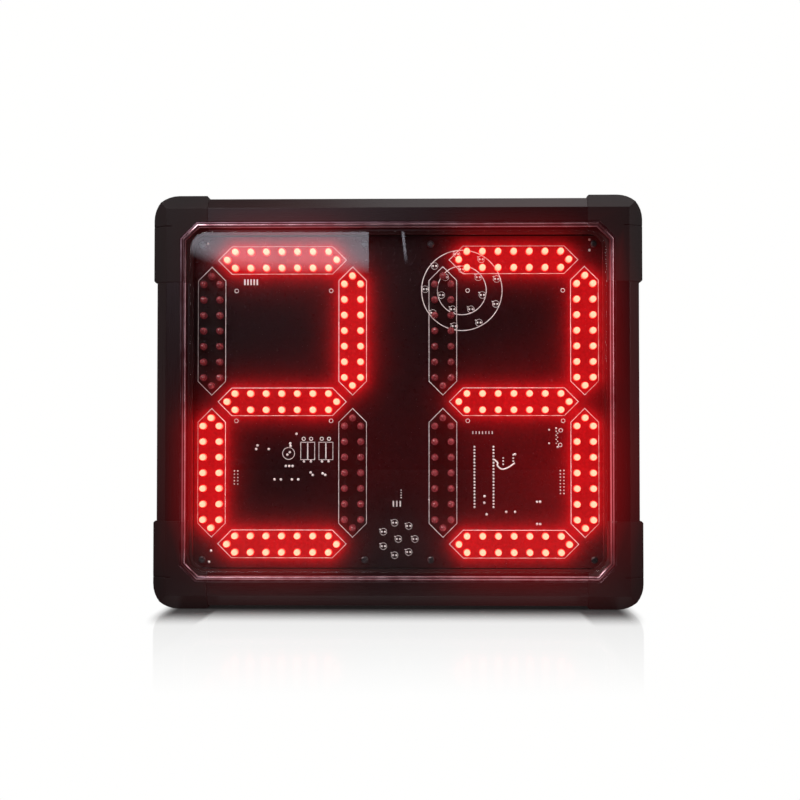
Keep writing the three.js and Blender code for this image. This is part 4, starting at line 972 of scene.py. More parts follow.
def burnished_with_painted_glints():
    """The bead stands proud, so hands and cloths have polished its oxide bright by rubbing; the pink cast
    of its metal is painted red haze. It gives off the stored light as painted haze, stronger and paler
    along the two painted glints, which stand for the LEDs mirrored in it."""
    material, tree, output, place = new_material("aluminium_bead_rubbed_painted_glints")
    wear = add(tree, "ShaderNodeTexNoise", inputs={"Vector": place, "Scale": 1 / (8 * MM)})
    tone = add(tree, "ShaderNodeValToRGB", {"stops": [(0.3, "#6a494f"), (0.7, "#93787e")]}, {"Fac": wear})
    rough = add(tree, "ShaderNodeMapRange", inputs={"Value": wear, "To Min": 0.16, "To Max": 0.28})
    light = add(tree, "ShaderNodeAttribute", {"attribute_name": "light"}).outputs["Fac"]
    glint = add(tree, "ShaderNodeAttribute", {"attribute_name": "glint"}).outputs["Fac"]
    gain = add(tree, "ShaderNodeMath", {"operation": "MULTIPLY_ADD"},
               {0: glint, 1: GLINT_GAIN, 2: BEAD_GAIN})
    focused = add(tree, "ShaderNodeMath", {"operation": "MULTIPLY"}, {0: light, 1: gain})
    pale = add(tree, "ShaderNodeMix", {"data_type": "RGBA"},
               {0: glint, 6: RED_LIGHT, 7: GLINT_COLOUR}).outputs[2]
    shader = add(tree, "ShaderNodeBsdfPrincipled", inputs={
        "Base Color": tone, "Metallic": 1.0, "Roughness": rough, "Emission Color": pale,
        "Emission Strength": focused})
    tree.links.new(shader.outputs[0], output.inputs[0])
    return material


anodised_finish = {True: anodised(True), False: anodised(False)}
rubbed_bead_and_glints = burnished_with_painted_glints()
for side in ("top", "bottom", "left", "right"):
    rail = make_piece("rail_" + side, rail_shape(side), anodised_finish[side in ("top", "bottom")])
    rub_bead_and_paint_glints(rail, rubbed_bead_and_glints)
    catch_light(rail)
    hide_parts("frame_rail_" + side)
print("one rail has", len(rail.data.polygons), "faces")

# %% [markdown]
# ## Softened copies of moulded pieces
# The CAD solids of the corner caps and of the inlet have the right shape but knife-sharp edges, which
# catch no light. A copy has its loose triangles merged and its flat areas dissolved to single faces.
# Then each edge that turns sharply outwards is rounded a little, as a mould rounds it.

# %% Softened copies
MERGE_WITHIN = 0.002 * MM
FLAT_BELOW = math.radians(0.5)
ROUNDED_ABOVE = math.radians(30)
CAP_EDGE_MM = 0.4


def softened(node, name, radius_mm, material, body="housing"):
    """A copy of a CAD node with its sharp convex edges rounded."""
    mesh = nodes[node].data.copy()
    mesh.name = name
    shell = bmesh.new()
    shell.from_mesh(mesh)
    bmesh.ops.remove_doubles(shell, verts=shell.verts, dist=MERGE_WITHIN)
    bmesh.ops.dissolve_limit(shell, angle_limit=FLAT_BELOW, verts=shell.verts, edges=shell.edges)
    sharp = [edge for edge in shell.edges
             if edge.is_manifold and edge.calc_face_angle_signed(0) > ROUNDED_ABOVE]
    bmesh.ops.bevel(shell, geom=sharp, offset=radius_mm * MM, segments=2, profile=0.5,
                    affect="EDGES", clamp_overlap=True)
    bmesh.ops.recalc_face_normals(shell, faces=shell.faces)
    shell.to_mesh(mesh)
    shell.free()
    mesh.materials.clear()
    piece = finished(name, mesh, material, body)
    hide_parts(node)
    return piece


def mould_grained(name, dark, light, rough=(0.42, 0.56), grain_mm=0.6, glowing=False):
    """Injection-moulded plastic: a fine spark-eroded grain that the mould prints on it. The caps also
    show the LEDs' haze."""
    material, tree, output, place = new_material(name)
    grain = add(tree, "ShaderNodeTexNoise", inputs={
        "Vector": place, "Scale": 1 / (grain_mm * MM), "Detail": 3.0})
    bump = add(tree, "ShaderNodeBump", inputs={"Strength": 0.25, "Distance": 0.05 * MM, "Height": grain})
    flow = add(tree, "ShaderNodeTexNoise", inputs={"Vector": place, "Scale": 1 / (25 * MM)})
    tone = add(tree, "ShaderNodeValToRGB", {"stops": [(0.3, dark), (0.7, light)]}, {"Fac": flow})
    gloss = add(tree, "ShaderNodeMapRange", inputs={"Value": grain, "To Min": rough[0], "To Max": rough[1]})
    inputs = {"Base Color": tone, "Roughness": gloss, "Normal": bump, "IOR": 1.53,
              "Specular IOR Level": 0.22}
    if glowing:
        haze = add(tree, "ShaderNodeAttribute", {"attribute_name": "light"}).outputs["Fac"]
        inputs |= {"Emission Color": RED_LIGHT, "Emission Strength": haze}
    shader = add(tree, "ShaderNodeBsdfPrincipled", inputs=inputs)
    tree.links.new(shader.outputs[0], output.inputs[0])
    return material


cap_plastic = mould_grained("abs_black_moulded_caps", "#070405", "#0c0607", glowing=True)
for high in ("top", "bottom"):
    for wide in ("left", "right"):
        cap = softened(f"corner_cap_{high}_{wide}", f"cap_{high}_{wide}", CAP_EDGE_MM, cap_plastic)
        rub_bead_and_paint_glints(cap, rubbed_bead_and_glints)
        catch_light(cap)
        print(cap.name, "has", len(cap.data.polygons), "faces")

# %% [markdown]
# ## The window
# The window is 3 mm cast acrylic, its edges polished and barely rounded. Behind glass a path tracer
# loses the light of lamps, so the shader is mixed with plain transparency for shadow rays only: light
# then reaches the board straight through, as it nearly does in the real thing.

# %% Acrylic window
WINDOW_RADIUS = 16.0 * MM
WINDOW_EDGE = 0.5 * MM
WINDOW_CORNER_STEPS = 12


def clear_acrylic():
    """Clear, with the faintest haze, and nothing at all to a shadow ray."""
    material, tree, output, place = new_material("acrylic_clear_cast")
    cloud = add(tree, "ShaderNodeTexNoise", inputs={"Vector": place, "Scale": 1 / (60 * MM)})
    haze = add(tree, "ShaderNodeMapRange", inputs={"Value": cloud, "To Min": 0.0, "To Max": 0.01})
    glass = add(tree, "ShaderNodeBsdfPrincipled", inputs={
        "Base Color": linear("#f6f0f0"), "Roughness": haze, "IOR": 1.49, "Transmission Weight": 1.0})
    clear = add(tree, "ShaderNodeBsdfTransparent")
    shadow = add(tree, "ShaderNodeLightPath").outputs["Is Shadow Ray"]
    mixed = add(tree, "ShaderNodeMixShader", inputs={0: shadow, 1: glass, 2: clear})
    tree.links.new(mixed.outputs[0], output.inputs[0])
    return material


def sides_of(node):
    """The four corners of a CAD node's box seen from the front, anticlockwise, and its depths."""
    low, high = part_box(node)
    middle = (low + high) / 2
    return rectangle(middle.x, middle.z, high.x - low.x, high.z - low.z), low.y, high.y


corners, front, back = sides_of("front_window")
window_loop = rounded(corners, [WINDOW_RADIUS] * 4, WINDOW_CORNER_STEPS)
window = make_piece("window_pane", plate([window_loop], front, back, WINDOW_EDGE), clear_acrylic())
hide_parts("front_window")
print("the window is", *np.round(np.ptp(corners, 0) / MM, 1), "mm")

# %% [markdown]
# ## The seal
# A ring of black foam rubber, cut with a die, cushions the window on the frame's ledge. It shows
# through the rim of the window, and the red haze falls on it as well. The haze changes along the
# ring, so its straight sides are cut into short steps.

# %% Foam seal
SEAL_WIDTH = 2.2 * MM
SEAL_STEP = 6.0 * MM
SEAL_CORNER_STEPS = 24


def cut_foam():
    """Matt black rubber, pitted with cut cells, that gives off the stored light."""
    material, tree, output, place = new_material("foam_rubber_black_die_cut")
    cells = add(tree, "ShaderNodeTexVoronoi", inputs={"Vector": place, "Scale": 1 / (0.5 * MM)})
    pitted = add(tree, "ShaderNodeBump", inputs={"Strength": 0.25, "Distance": 0.2 * MM, "Height": cells})
    cloud = add(tree, "ShaderNodeTexNoise", inputs={"Vector": place, "Scale": 1 / (9 * MM)})
    tone = add(tree, "ShaderNodeValToRGB", {"stops": [(0.3, "#060505"), (0.7, "#0b0909")]}, {"Fac": cloud})
    light = add(tree, "ShaderNodeAttribute", {"attribute_name": "light"}).outputs["Fac"]
    shader = add(tree, "ShaderNodeBsdfPrincipled", inputs={
        "Base Color": tone, "Roughness": 0.92, "Specular IOR Level": 0.08, "Normal": pitted,
        "Emission Color": RED_LIGHT, "Emission Strength": light})
    tree.links.new(shader.outputs[0], output.inputs[0])
    return material


def stepped(loop, step):
    """A loop with points added along its sides, so that no side is longer than the step. Each side
    becomes its start plus 0, 1, 2 and so on times its own share."""
    sides = np.roll(loop, -1, 0) - loop
    counts = np.ceil(np.linalg.norm(sides, axis=1) / step).astype(int)
    number = np.arange(counts.sum()) - np.repeat(np.cumsum(counts) - counts, counts)
    return np.repeat(loop, counts, 0) + np.repeat(sides / counts[:, None], counts, 0) * number[:, None]


corners, front, back = sides_of("window_seal")
seal_loop = stepped(rounded(corners, [WINDOW_RADIUS] * 4, SEAL_CORNER_STEPS), SEAL_STEP)
seal = make_piece("seal_ring", hoop(seal_loop, moved_left(seal_loop, SEAL_WIDTH), front, back), cut_foam())
catch_light(seal)
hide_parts("window_seal")
print("the seal has", len(seal.data.polygons), "faces")

# %% [markdown]
# ## Pieces that keep their CAD shape
# Standoffs and the parts inside are right as they are. They get their finish through their own
# material slots.

# %% Finishes for CAD pieces
def plain_finish(name, dark, light, rough, size_mm=1.5, metallic=0.0, bump=0.15):
    """A finish with slow colour change and a fine bump, for pieces that need no more."""
    material, tree, output, place = new_material(name)
    fine = add(tree, "ShaderNodeTexNoise", inputs={"Vector": place, "Scale": 1 / (size_mm * MM)})
    relief = add(tree, "ShaderNodeBump", inputs={"Strength": bump, "Distance": 0.05 * MM, "Height": fine})
    slow = add(tree, "ShaderNodeTexNoise", inputs={"Vector": place, "Scale": 1 / (12 * size_mm * MM)})
    tone = add(tree, "ShaderNodeValToRGB", {"stops": [(0.3, dark), (0.7, light)]}, {"Fac": slow})
    gloss = add(tree, "ShaderNodeMapRange", inputs={"Value": fine, "To Min": rough[0], "To Max": rough[1]})
    shader = add(tree, "ShaderNodeBsdfPrincipled", inputs={
        "Base Color": tone, "Metallic": metallic, "Roughness": gloss, "Normal": relief})
    tree.links.new(shader.outputs[0], output.inputs[0])
    return material


def dress(finish, *names):
    """Gives CAD nodes a finish through their own slots."""
    for name in names:
        for slot in nodes[name].material_slots:
            slot.material = finish


def named(start):
    """The names of all CAD nodes that start so."""
    return [name for name in nodes if name.startswith(start)]


zinc = plain_finish("steel_zinc_plated", "#8e8f8a", "#b4b4ae", (0.32, 0.5), 2, 0.9)
black_nylon = plain_finish("nylon_black_moulded", "#121214", "#1e1e20", (0.42, 0.55))
dress(zinc, "power_supply", *named("board_standoff"))
dress(black_nylon, "controller_socket", "controller_chip", "output_relay_1", "output_relay_2",
      "receiver_header", "ribbon_header_left", "ribbon_header_right", "power_connector",
      "supply_terminals", "horn")
dress(plain_finish("pvc_sleeve_dark_blue_shrunk", "#141a26", "#1e2636", (0.3, 0.4)), "reservoir_capacitor")
dress(plain_finish("laminate_green_masked", "#123a1e", "#1c5230", (0.3, 0.42)), "receiver_module")
dress(plain_finish("pvc_black_sheath_extruded", "#131314", "#1d1d1f", (0.45, 0.6)),
      "mains_lead", "supply_lead")
print("dressed the inner parts")

# %% [markdown]
# ## Screws
# Pan-head machine screws with a cross recess hold the board, the rear panel and the inlet. The recess
# is what makes a screw read as a screw, so the head has it as a real hole: an upper layer with a
# cross cut out, and a plain disc below that forms the floor.

# %% Screw shape
HEAD_RADIUS = 2.8 * MM
HEAD_HEIGHT = 2.0 * MM
HEAD_EDGE = 0.9 * MM
RECESS_HALF = (1.55 * MM, 0.42 * MM)
RECESS_DEPTH = 1.0 * MM
RECESS_DRAFT = 0.1
THREAD_RADIUS = 1.45 * MM
HEAD_SIDES = 24
THREAD_SIDES = 16


def cross(long, short):
    """The twelve corners of a cross, anticlockwise: three corners, turned by a quarter turn, (x, z)
    to (-z, x), four times."""
    corners = np.array([[long, -short], [long, short], [short, short]])
    quarters = [corners]
    for _ in range(3):
        quarters.append(quarters[-1][:, ::-1] * [-1, 1])
    return np.vstack(quarters)


def screw_shape(length):
    """A screw whose seat is at y zero, its head in front of it. The recess narrows a little."""
    front, floor = -HEAD_HEIGHT, RECESS_DEPTH - HEAD_HEIGHT
    rim = circle(0, 0, HEAD_RADIUS, HEAD_SIDES)
    upper = layered([rim, cross(*RECESS_HALF)[::-1]], [*edge_rows(front, HEAD_EDGE, 1), (0, floor)],
                    [1, RECESS_DRAFT])
    lower = layered([rim], [(0, floor), (0, 0)])
    thread = layered([circle(0, 0, THREAD_RADIUS, THREAD_SIDES)], [(0, 0), (0, length)])
    return gathered([upper, lower, thread])


def screws(name, start, length, facing, finish):
    """One piece for all CAD screws of one kind. facing is -1 for heads towards the front."""
    points, faces = screw_shape(length)
    names = named(start)
    places = []
    for node in names:
        low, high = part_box(node)
        seat = low.y + HEAD_HEIGHT if facing < 0 else high.y - HEAD_HEIGHT
        places.append([(low.x + high.x) / 2, seat, (low.z + high.z) / 2])
    piece = make_piece(name, copied((points * [1, -facing, 1], faces), places), finish)
    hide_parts(*names)
    return piece


steel = plain_finish("steel_nickel_plated_turned", "#9a9896", "#c4c2be", (0.22, 0.38), 0.5, 1.0, 0.08)
oxide = plain_finish("steel_black_oxide_turned", "#4a4446", "#6c6466", (0.25, 0.4), 0.5, 1.0, 0.08)
screws("board_screws", "board_screw", 8 * MM, -1, oxide)
screws("panel_screws", "rear_panel_screw", 6 * MM, 1, steel)
screws("inlet_screws", "inlet_screw", 8 * MM, 1, steel)
print("one screw has", sum(len(group) for group in screw_shape(8 * MM)[1]), "faces")

# %% [markdown]
# ## The rear panel
# The panel is 2 mm steel sheet, punched and then powder coated. Its two keyholes hang the clock on
# wall screws: a head goes in through the round hole and drops so that its shank lies in the slot.
# Round holes that the CAD draws with six sides are fully round here. Places are in millimetres from
# the display's middle.

# %% Rear panel
PANEL_EDGE = 0.25 * MM
PANEL_CORNER = 9.82
KEYHOLE_X = 120.0
KEYHOLE_Z = 95.0
KEYHOLE_RADIUS = 5.0
KEYHOLE_HALF_SLOT = 2.5
KEYHOLE_RISE = 14.0
# Width, height and corner radius of a slot
VENT_SLOT = (32.0, 3.5, 1.73)
VENT_PITCH = 9.0
VENT_COUNT = 5
VENT_MIDDLES = ((72.0, -26.0), (-78.0, 52.0))
HOLE_RADIUS = 1.8
HOLE_SIDES = 20
CORNER_STEPS = 5
# Place, width, height and corner radius of the inlet's opening
INLET_CUT = (-112.0, -78.0, 28.6, 48.8, 2.0)


def keyhole_outline(side):
    """A keyhole, clockwise: the slot's round top, its sides, and the round hole below them."""
    start = math.acos(KEYHOLE_HALF_SLOT / KEYHOLE_RADIUS)
    below = np.linspace(math.pi - start, 2 * math.pi + start, HOLE_SIDES)
    above = np.linspace(0, math.pi, HOLE_SIDES // 2 + 1)
    hole = KEYHOLE_RADIUS * np.stack([np.cos(below), np.sin(below)], -1)
    top = KEYHOLE_HALF_SLOT * np.stack([np.cos(above), np.sin(above)], -1) + [0, KEYHOLE_RISE]
    return (np.vstack([hole, top]) + [side * KEYHOLE_X, KEYHOLE_Z])[::-1]


def rounded_hole(x, z, wide, high, radius):
    """A rounded rectangle, clockwise."""
    return rounded(rectangle(x, z, wide, high), [radius] * 4, CORNER_STEPS)[::-1]


def node_middles(*starts):
    """The (x, z) middles of CAD nodes, in millimetres from the display's middle."""
    boxes = [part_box(name) for start in starts for name in named(start)]
    return [((low.x + high.x) / 2 / MM, ((low.z + high.z) / 2 - MIDDLE_Z) / MM) for low, high in boxes]


low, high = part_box("rear_panel")
wide, tall = (high.x - low.x) / 2 / MM, (high.z - low.z) / 2 / MM
corner = PANEL_CORNER
outline = np.array([[wide, corner - tall], [wide, tall - corner], [wide - corner, tall],
                    [corner - wide, tall], [-wide, tall - corner], [-wide, corner - tall],
                    [corner - wide, -tall], [wide - corner, -tall]])
vents = [rounded_hole(x, z + (i - (VENT_COUNT - 1) / 2) * VENT_PITCH, *VENT_SLOT)
         for x, z in VENT_MIDDLES for i in range(VENT_COUNT)]
holes = [circle(x, z, HOLE_RADIUS, HOLE_SIDES, clockwise=True)
         for x, z in node_middles("rear_panel_screw", "inlet_screw")]
loops = [outline, rounded_hole(*INLET_CUT), keyhole_outline(-1), keyhole_outline(1), *vents, *holes]
sheet = plate([loop * MM + [0, MIDDLE_Z] for loop in loops], low.y, high.y, PANEL_EDGE)
panel = make_piece("rear_sheet", sheet, plain_finish(
    "steel_sheet_powder_coated_black", "#141416", "#1d1d20", (0.5, 0.68), 0.9, 0.0, 0.5))
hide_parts("rear_panel")
print("the panel has", len(loops) - 1, "openings and", len(panel.data.polygons), "faces")

# %% [markdown]
# ## Mains inlet, rocker and fuse drawer
# The inlet is one thermoplastic moulding with three brass pins. The rocker rides on its own joint and
# carries printed marks, a bar for on and a ring for off. The drawer slides out with the glass fuse.

# %% Inlet, rocker and drawer
inlet_plastic = mould_grained("pbt_black_moulded_inlet", "#101012", "#18181b", (0.34, 0.5), 0.4)
rocker_plastic = mould_grained("pc_black_moulded_rocker", "#0c0c0e", "#131316", (0.2, 0.32), 0.3)
for node, name, radius, finish, body, place_slot in (
        ("inlet_body", "inlet_moulding", 0.35, inlet_plastic, "housing", "inlet_plastic"),
        ("power_rocker", "rocker_cap", 0.35, rocker_plastic, "rocker", "rocker_plastic"),
        ("fuse_drawer", "drawer_moulding", 0.2, inlet_plastic, "drawer", "inlet_plastic")):
    piece = softened(node, name, radius, finish, body)
dress(plain_finish("brass_nickel_plated_stamped", "#b09a6a", "#d0be92", (0.2, 0.34), 0.8, 1.0, 0.1),
      *named("inlet_pin"))

# %% [markdown]
# ## Marks on the rocker
# A pad printer lays the two marks on the rocker, one on each sloping half. Each is drawn flat, as a thin
# solid on either side of the surface, and then turned by the slope of its half and by the rocker's tilt.

# %% Marks on the rocker
ROCKER_PIVOT = np.array([-112.0, 28.7, 102.05])
ROCKER_TILT = math.radians(8)
ROCKER_HALF = 10.0
ROCKER_HEIGHTS = (4.6, 6.2)
MARK_MIDDLE = 5.6
MARK_HEIGHT = 0.04
BAR_SIZE = (0.9, 4.6)
RING_RADII = (2.3, 1.55)
MARK_SIDES = 28


def on_rocker(loops, side):
    """A printed mark on one half of the rocker, between loops of (along, z) points in millimetres.
    The half slopes from its middle height to its end height, and the rocker is turned by its tilt."""
    middle, end = ROCKER_HEIGHTS
    slope = math.atan2(end - middle, ROCKER_HALF)
    points, faces = layered(loops, [(0, -MARK_HEIGHT), (0, MARK_HEIGHT)])
    along, lift, z = points.T
    x = side * (along * math.cos(slope) - lift * math.sin(slope))
    y = middle + along * math.sin(slope) + lift * math.cos(slope)
    turned = [x * math.cos(ROCKER_TILT) - y * math.sin(ROCKER_TILT),
              x * math.sin(ROCKER_TILT) + y * math.cos(ROCKER_TILT), z]
    return (np.stack(turned, -1) + ROCKER_PIVOT) * MM, faces


bar = on_rocker([rectangle(MARK_MIDDLE, 0, *BAR_SIZE)], 1)
ring = on_rocker([circle(MARK_MIDDLE, 0, RING_RADII[0], MARK_SIDES),
                  circle(MARK_MIDDLE, 0, RING_RADII[1], MARK_SIDES, clockwise=True)], -1)
marks = make_piece("rocker_marks", gathered([bar, ring]),
                   plain_finish("white_pad_printed_ink", "#d8d6d2", "#eceae6", (0.5, 0.62), 0.4), "rocker")

# %% [markdown]
# ## The fuse
# A fuse is a glass tube with a thin wire in it and a nickel-plated cap pressed over each end.

# %% Fuse
FUSE_CAP = 5.0 * MM
FUSE_GLASS_INSET = 0.25 * MM
FUSE_WIRE = 0.15 * MM
FUSE_CAP_EDGE = 0.2 * MM
FUSE_GLASS_EDGE = 0.05 * MM
FUSE_SIDES = 28
FUSE_WIRE_SIDES = 8
low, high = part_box("fuse")
fuse_middle = np.array((low + high) / 2)
fuse_half = (high.x - low.x) / 2
fuse_radius = min(high.y - low.y, high.z - low.z) / 2


def along_x(profile, sides):
    """A profile of (radius, x) turned about the fuse's own axis."""
    points, faces = revolved(profile, sides)
    return points[:, [1, 0, 2]] + fuse_middle, faces


def barrel(start, end, radius, edge):
    """The profile of a short cylinder with chamfered ends."""
    return [(0, start), (radius - edge, start), (radius, start + edge), (radius, end - edge),
            (radius - edge, end), (0, end)]


def tube_glass():
    """Drawn glass, nearly smooth."""
    material, tree, output, place = new_material("glass_drawn_fuse_tube")
    drawn = add(tree, "ShaderNodeTexNoise", inputs={"Vector": place, "Scale": 1 / (3 * MM)})
    haze = add(tree, "ShaderNodeMapRange", inputs={"Value": drawn, "To Min": 0.02, "To Max": 0.08})
    shader = add(tree, "ShaderNodeBsdfPrincipled", inputs={
        "Base Color": linear("#eef2ee"), "Roughness": haze, "IOR": 1.52, "Transmission Weight": 1.0})
    tree.links.new(shader.outputs[0], output.inputs[0])
    return material


inner = fuse_half - FUSE_CAP
metal = [along_x(barrel(start, end, fuse_radius, FUSE_CAP_EDGE), FUSE_SIDES)
         for start, end in ((-fuse_half, -inner), (inner, fuse_half))]
metal.append(along_x(barrel(-inner, inner, FUSE_WIRE, FUSE_WIRE / 4), FUSE_WIRE_SIDES))
glass = [along_x(barrel(-inner, inner, fuse_radius - FUSE_GLASS_INSET, FUSE_GLASS_EDGE), FUSE_SIDES)]
for name, shapes, finish in (("fuse_caps_and_wire", metal, steel), ("fuse_tube", glass, tube_glass())):
    piece = make_piece(name, gathered(shapes), finish, "drawer")
    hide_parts("fuse")
print("the fuse is", round(2 * fuse_half / MM, 1), "mm long")

# %% [markdown]
# ## A patched wire
# Beside the controller a thin white wire has been soldered across the board by hand. It is a tube
# carried along a smooth path through a few points read off the photograph.

# %% Jumper wire
WIRE_RADIUS = 0.6
WIRE_LIFT = 1.1
WIRE_STEPS = 6
WIRE_SIDES = 10
WIRE_PATH = [[493.2, 458.9], [496.6, 462.3], [496.2, 464.9], [500.5, 468.6], [506.5, 467.2],
             [513.4, 462.6]]


def smooth_path(points, steps):
    """A path through points: from each to the next it is the cubic in t whose slopes at both ends are
    half the difference of their neighbours."""
    ends = np.vstack([2 * points[0] - points[1], points, 2 * points[-1] - points[-2]])
    t = np.arange(steps)[:, None] / steps
    before, here, there, after = (group[:, None] for group in (ends[:-3], ends[1:-2], ends[2:-1], ends[3:]))
    curve = (here + t * (there - before) / 2 + t ** 2 * (before - 2.5 * here + 2 * there - after / 2)
             + t ** 3 * (1.5 * here - before / 2 - 1.5 * there + after / 2))
    return np.vstack([curve.reshape(-1, 3), points[-1:]])


def tube(path, radius, sides):
    """A tube of round section along a path that never runs along y."""
    along = np.gradient(path, axis=0)
    along /= np.linalg.norm(along, axis=1)[:, None]
    across = np.cross(along, [0, 1, 0])
    across /= np.linalg.norm(across, axis=1)[:, None]
    up = np.cross(across, along)
    turn = 2 * np.pi * np.arange(sides) / sides
    ring = np.cos(turn)[None, :, None] * across[:, None] + np.sin(turn)[None, :, None] * up[:, None]
    points = (path[:, None] + radius * ring).reshape(-1, 3)
    ends = np.arange(sides)[None]
    return points, [grid_faces(len(path), sides, wrap_columns=True), ends, ends + len(points) - sides]


flat = on_board(WIRE_PATH)
lift = WIRE_LIFT * np.sin(np.linspace(0, np.pi, len(flat)))
wire_points = np.stack([flat[:, 0], board_front / MM - lift, flat[:, 1] + MIDDLE_Z / MM], -1) * MM
wire_tube = tube(smooth_path(wire_points, WIRE_STEPS), WIRE_RADIUS * MM, WIRE_SIDES)
wire = make_piece("jumper_wire", wire_tube,
                  plain_finish("pvc_white_wire_extruded", "#efeae8", "#fbf8f6", (0.35, 0.5), 0.8))
print("the wire has", len(wire.data.polygons), "faces")

# %% [markdown]
# ## Floor and light
# The clock stands on a white sweep. Only camera rays see all of it white, because a black glossy face
# shows whatever stands in front of it, and in the photograph that is a dark room. Three soft boxes light
# the clock. One lies overhead and shows as the pale band in the top rail's bevel, the key stands high in
# front on the left, and a weak one fills the right. The camera sees a painted contact shadow at the
# clock's foot. For all other rays the sweep's nearest part is painted pale, a painted pool of light, and
# the lower bevel mirrors it.

# %% The floor
FLOOR_HALF = 6.0
SHADE_HALF_WIDTH = 0.173
SIDE_SQUEEZE = 5.8
CLOCK_HALF_DEPTH = 0.0375
CAP_START = 0.144
CAP_BLEND = 0.002
UNDER_RAIL = 0.0315
UNDER_CAPS = 0.0515
# Reach and depth of the painted contact shadow
SHADE_REACH = 0.10
SHADE_BEHIND = 0.5
# Reach of the painted pool of light that rays other than the camera's meet
LIT_REACH = 0.16
LIT_RISE = 0.015
LIT_AT_FOOT = 0.4
MIRROR_REACH = 0.42
MIRROR_SHARE = 0.2
FULL_WHITE = (1, 1, 0.995, 1)


def distance_from_foot(tree, place):
    """How far the floor's points lie from the clock's foot: the length of max(|place| - half size, 0),
    sideways counted more, because the corners are round. The half depth is larger under the caps,
    which stand on the floor while the rail between them is raised."""
    size = add(tree, "ShaderNodeVectorMath", {"operation": "ABSOLUTE"}, {0: place})
    across = add(tree, "ShaderNodeSeparateXYZ", inputs={0: size}).outputs["X"]
    half_depth = add(tree, "ShaderNodeMapRange", inputs={
        "Value": across, "From Min": CAP_START - CAP_BLEND, "From Max": CAP_START + CAP_BLEND,
        "To Min": UNDER_RAIL, "To Max": UNDER_CAPS})
    half_size = add(tree, "ShaderNodeCombineXYZ", inputs={"X": SHADE_HALF_WIDTH, "Y": half_depth})
    past = add(tree, "ShaderNodeVectorMath", {"operation": "SUBTRACT"}, {0: size, 1: half_size})
    outside = add(tree, "ShaderNodeVectorMath", {"operation": "MAXIMUM"}, {0: past, 1: (0, 0, 0)})
    squeezed = add(tree, "ShaderNodeVectorMath", {"operation": "MULTIPLY"},
                   {0: outside, 1: (SIDE_SQUEEZE, 1, 1)})
    return add(tree, "ShaderNodeVectorMath", {"operation": "LENGTH"}, {0: squeezed}).outputs["Value"]


def white_sweep():
    """White paint with a thin varnish. Near the foot a darker paint and a faint glow give a painted
    contact shadow, deepest in front, and in front a share of varnish mirrors the clock; both fade with
    the distance from the foot. All other rays meet a sweep with a painted pool of light near the clock
    only, because its window would mirror a white one."""
    material, tree, output, place = new_material("studio_sweep_white_varnished")
    distance = distance_from_foot(tree, place)
    depth = add(tree, "ShaderNodeSeparateXYZ", inputs={0: place}).outputs["Y"]
    most = add(tree, "ShaderNodeMapRange", inputs={
        "Value": depth, "From Min": 0.0, "From Max": CLOCK_HALF_DEPTH, "To Min": 1.0, "To Max": SHADE_BEHIND})
    shade_share = add(tree, "ShaderNodeMapRange", {"interpolation_type": "SMOOTHSTEP"}, {
        "Value": distance, "From Max": SHADE_REACH, "To Min": most, "To Max": 0.0})
    in_front = add(tree, "ShaderNodeMapRange", inputs={
        "Value": depth, "From Min": 0.0, "From Max": CLOCK_HALF_DEPTH, "To Min": MIRROR_SHARE, "To Max": 0.0})
    mirror_share = add(tree, "ShaderNodeMapRange", inputs={
        "Value": distance, "From Max": MIRROR_REACH, "To Min": in_front, "To Max": 0.0})
    rise = add(tree, "ShaderNodeMapRange", inputs={
        "Value": distance, "From Max": LIT_RISE, "To Min": LIT_AT_FOOT, "To Max": 1.0})
    painted_pool_share = add(tree, "ShaderNodeMapRange", {"interpolation_type": "SMOOTHSTEP"}, {
        "Value": distance, "From Max": LIT_REACH, "To Min": rise, "To Max": 0.0})
    shaded = add(tree, "ShaderNodeBsdfPrincipled", inputs={
        "Base Color": linear("#343333"), "Roughness": 0.8, "Emission Color": linear("#1b1818"),
        "Emission Strength": 1.0})
    varnish = add(tree, "ShaderNodeBsdfPrincipled", inputs={
        "Base Color": linear("#ffffff"), "Metallic": 1.0, "Roughness": 0.07})
    white = add(tree, "ShaderNodeEmission", inputs={"Color": FULL_WHITE, "Strength": 1.0})
    mirroring = add(tree, "ShaderNodeMixShader", inputs={0: mirror_share, 1: white, 2: varnish})
    seen = add(tree, "ShaderNodeMixShader", inputs={0: shade_share, 1: mirroring, 2: shaded})
    tone = add(tree, "ShaderNodeMix", {"data_type": "RGBA"},
               {0: painted_pool_share, 6: linear("#2a2828"), 7: linear("#f4efef")}).outputs[2]
    unseen = add(tree, "ShaderNodeBsdfPrincipled", inputs={"Base Color": tone, "Roughness": 0.9})
    camera_ray = add(tree, "ShaderNodeLightPath").outputs["Is Camera Ray"]
    mixed = add(tree, "ShaderNodeMixShader", inputs={0: camera_ray, 1: unseen, 2: seen})
    tree.links.new(mixed.outputs[0], output.inputs[0])
    return material


floor_mesh = bpy.data.meshes.new("floor")
floor_corners = np.insert(rectangle(0, 0, 2 * FLOOR_HALF, 2 * FLOOR_HALF), 2, 0, 1)
floor_mesh.from_pydata(floor_corners.tolist(), [], [(0, 1, 2, 3)])
floor_mesh.materials.append(white_sweep())
floor = bpy.data.objects.new("floor", floor_mesh)
scene.collection.objects.link(floor)

# %% [markdown]
# ## The room
# The room is the world. The camera sees it as white. All other rays find it dark in front, which keeps
# the black front black, and bright behind, where it lights the rear panel evenly.

# %% The world
ROOM_DARK = 0.018
ROOM_BRIGHT = 1.0
ROOM_DARK_UNTIL = -0.38
ROOM_BRIGHT_FROM = 0.4


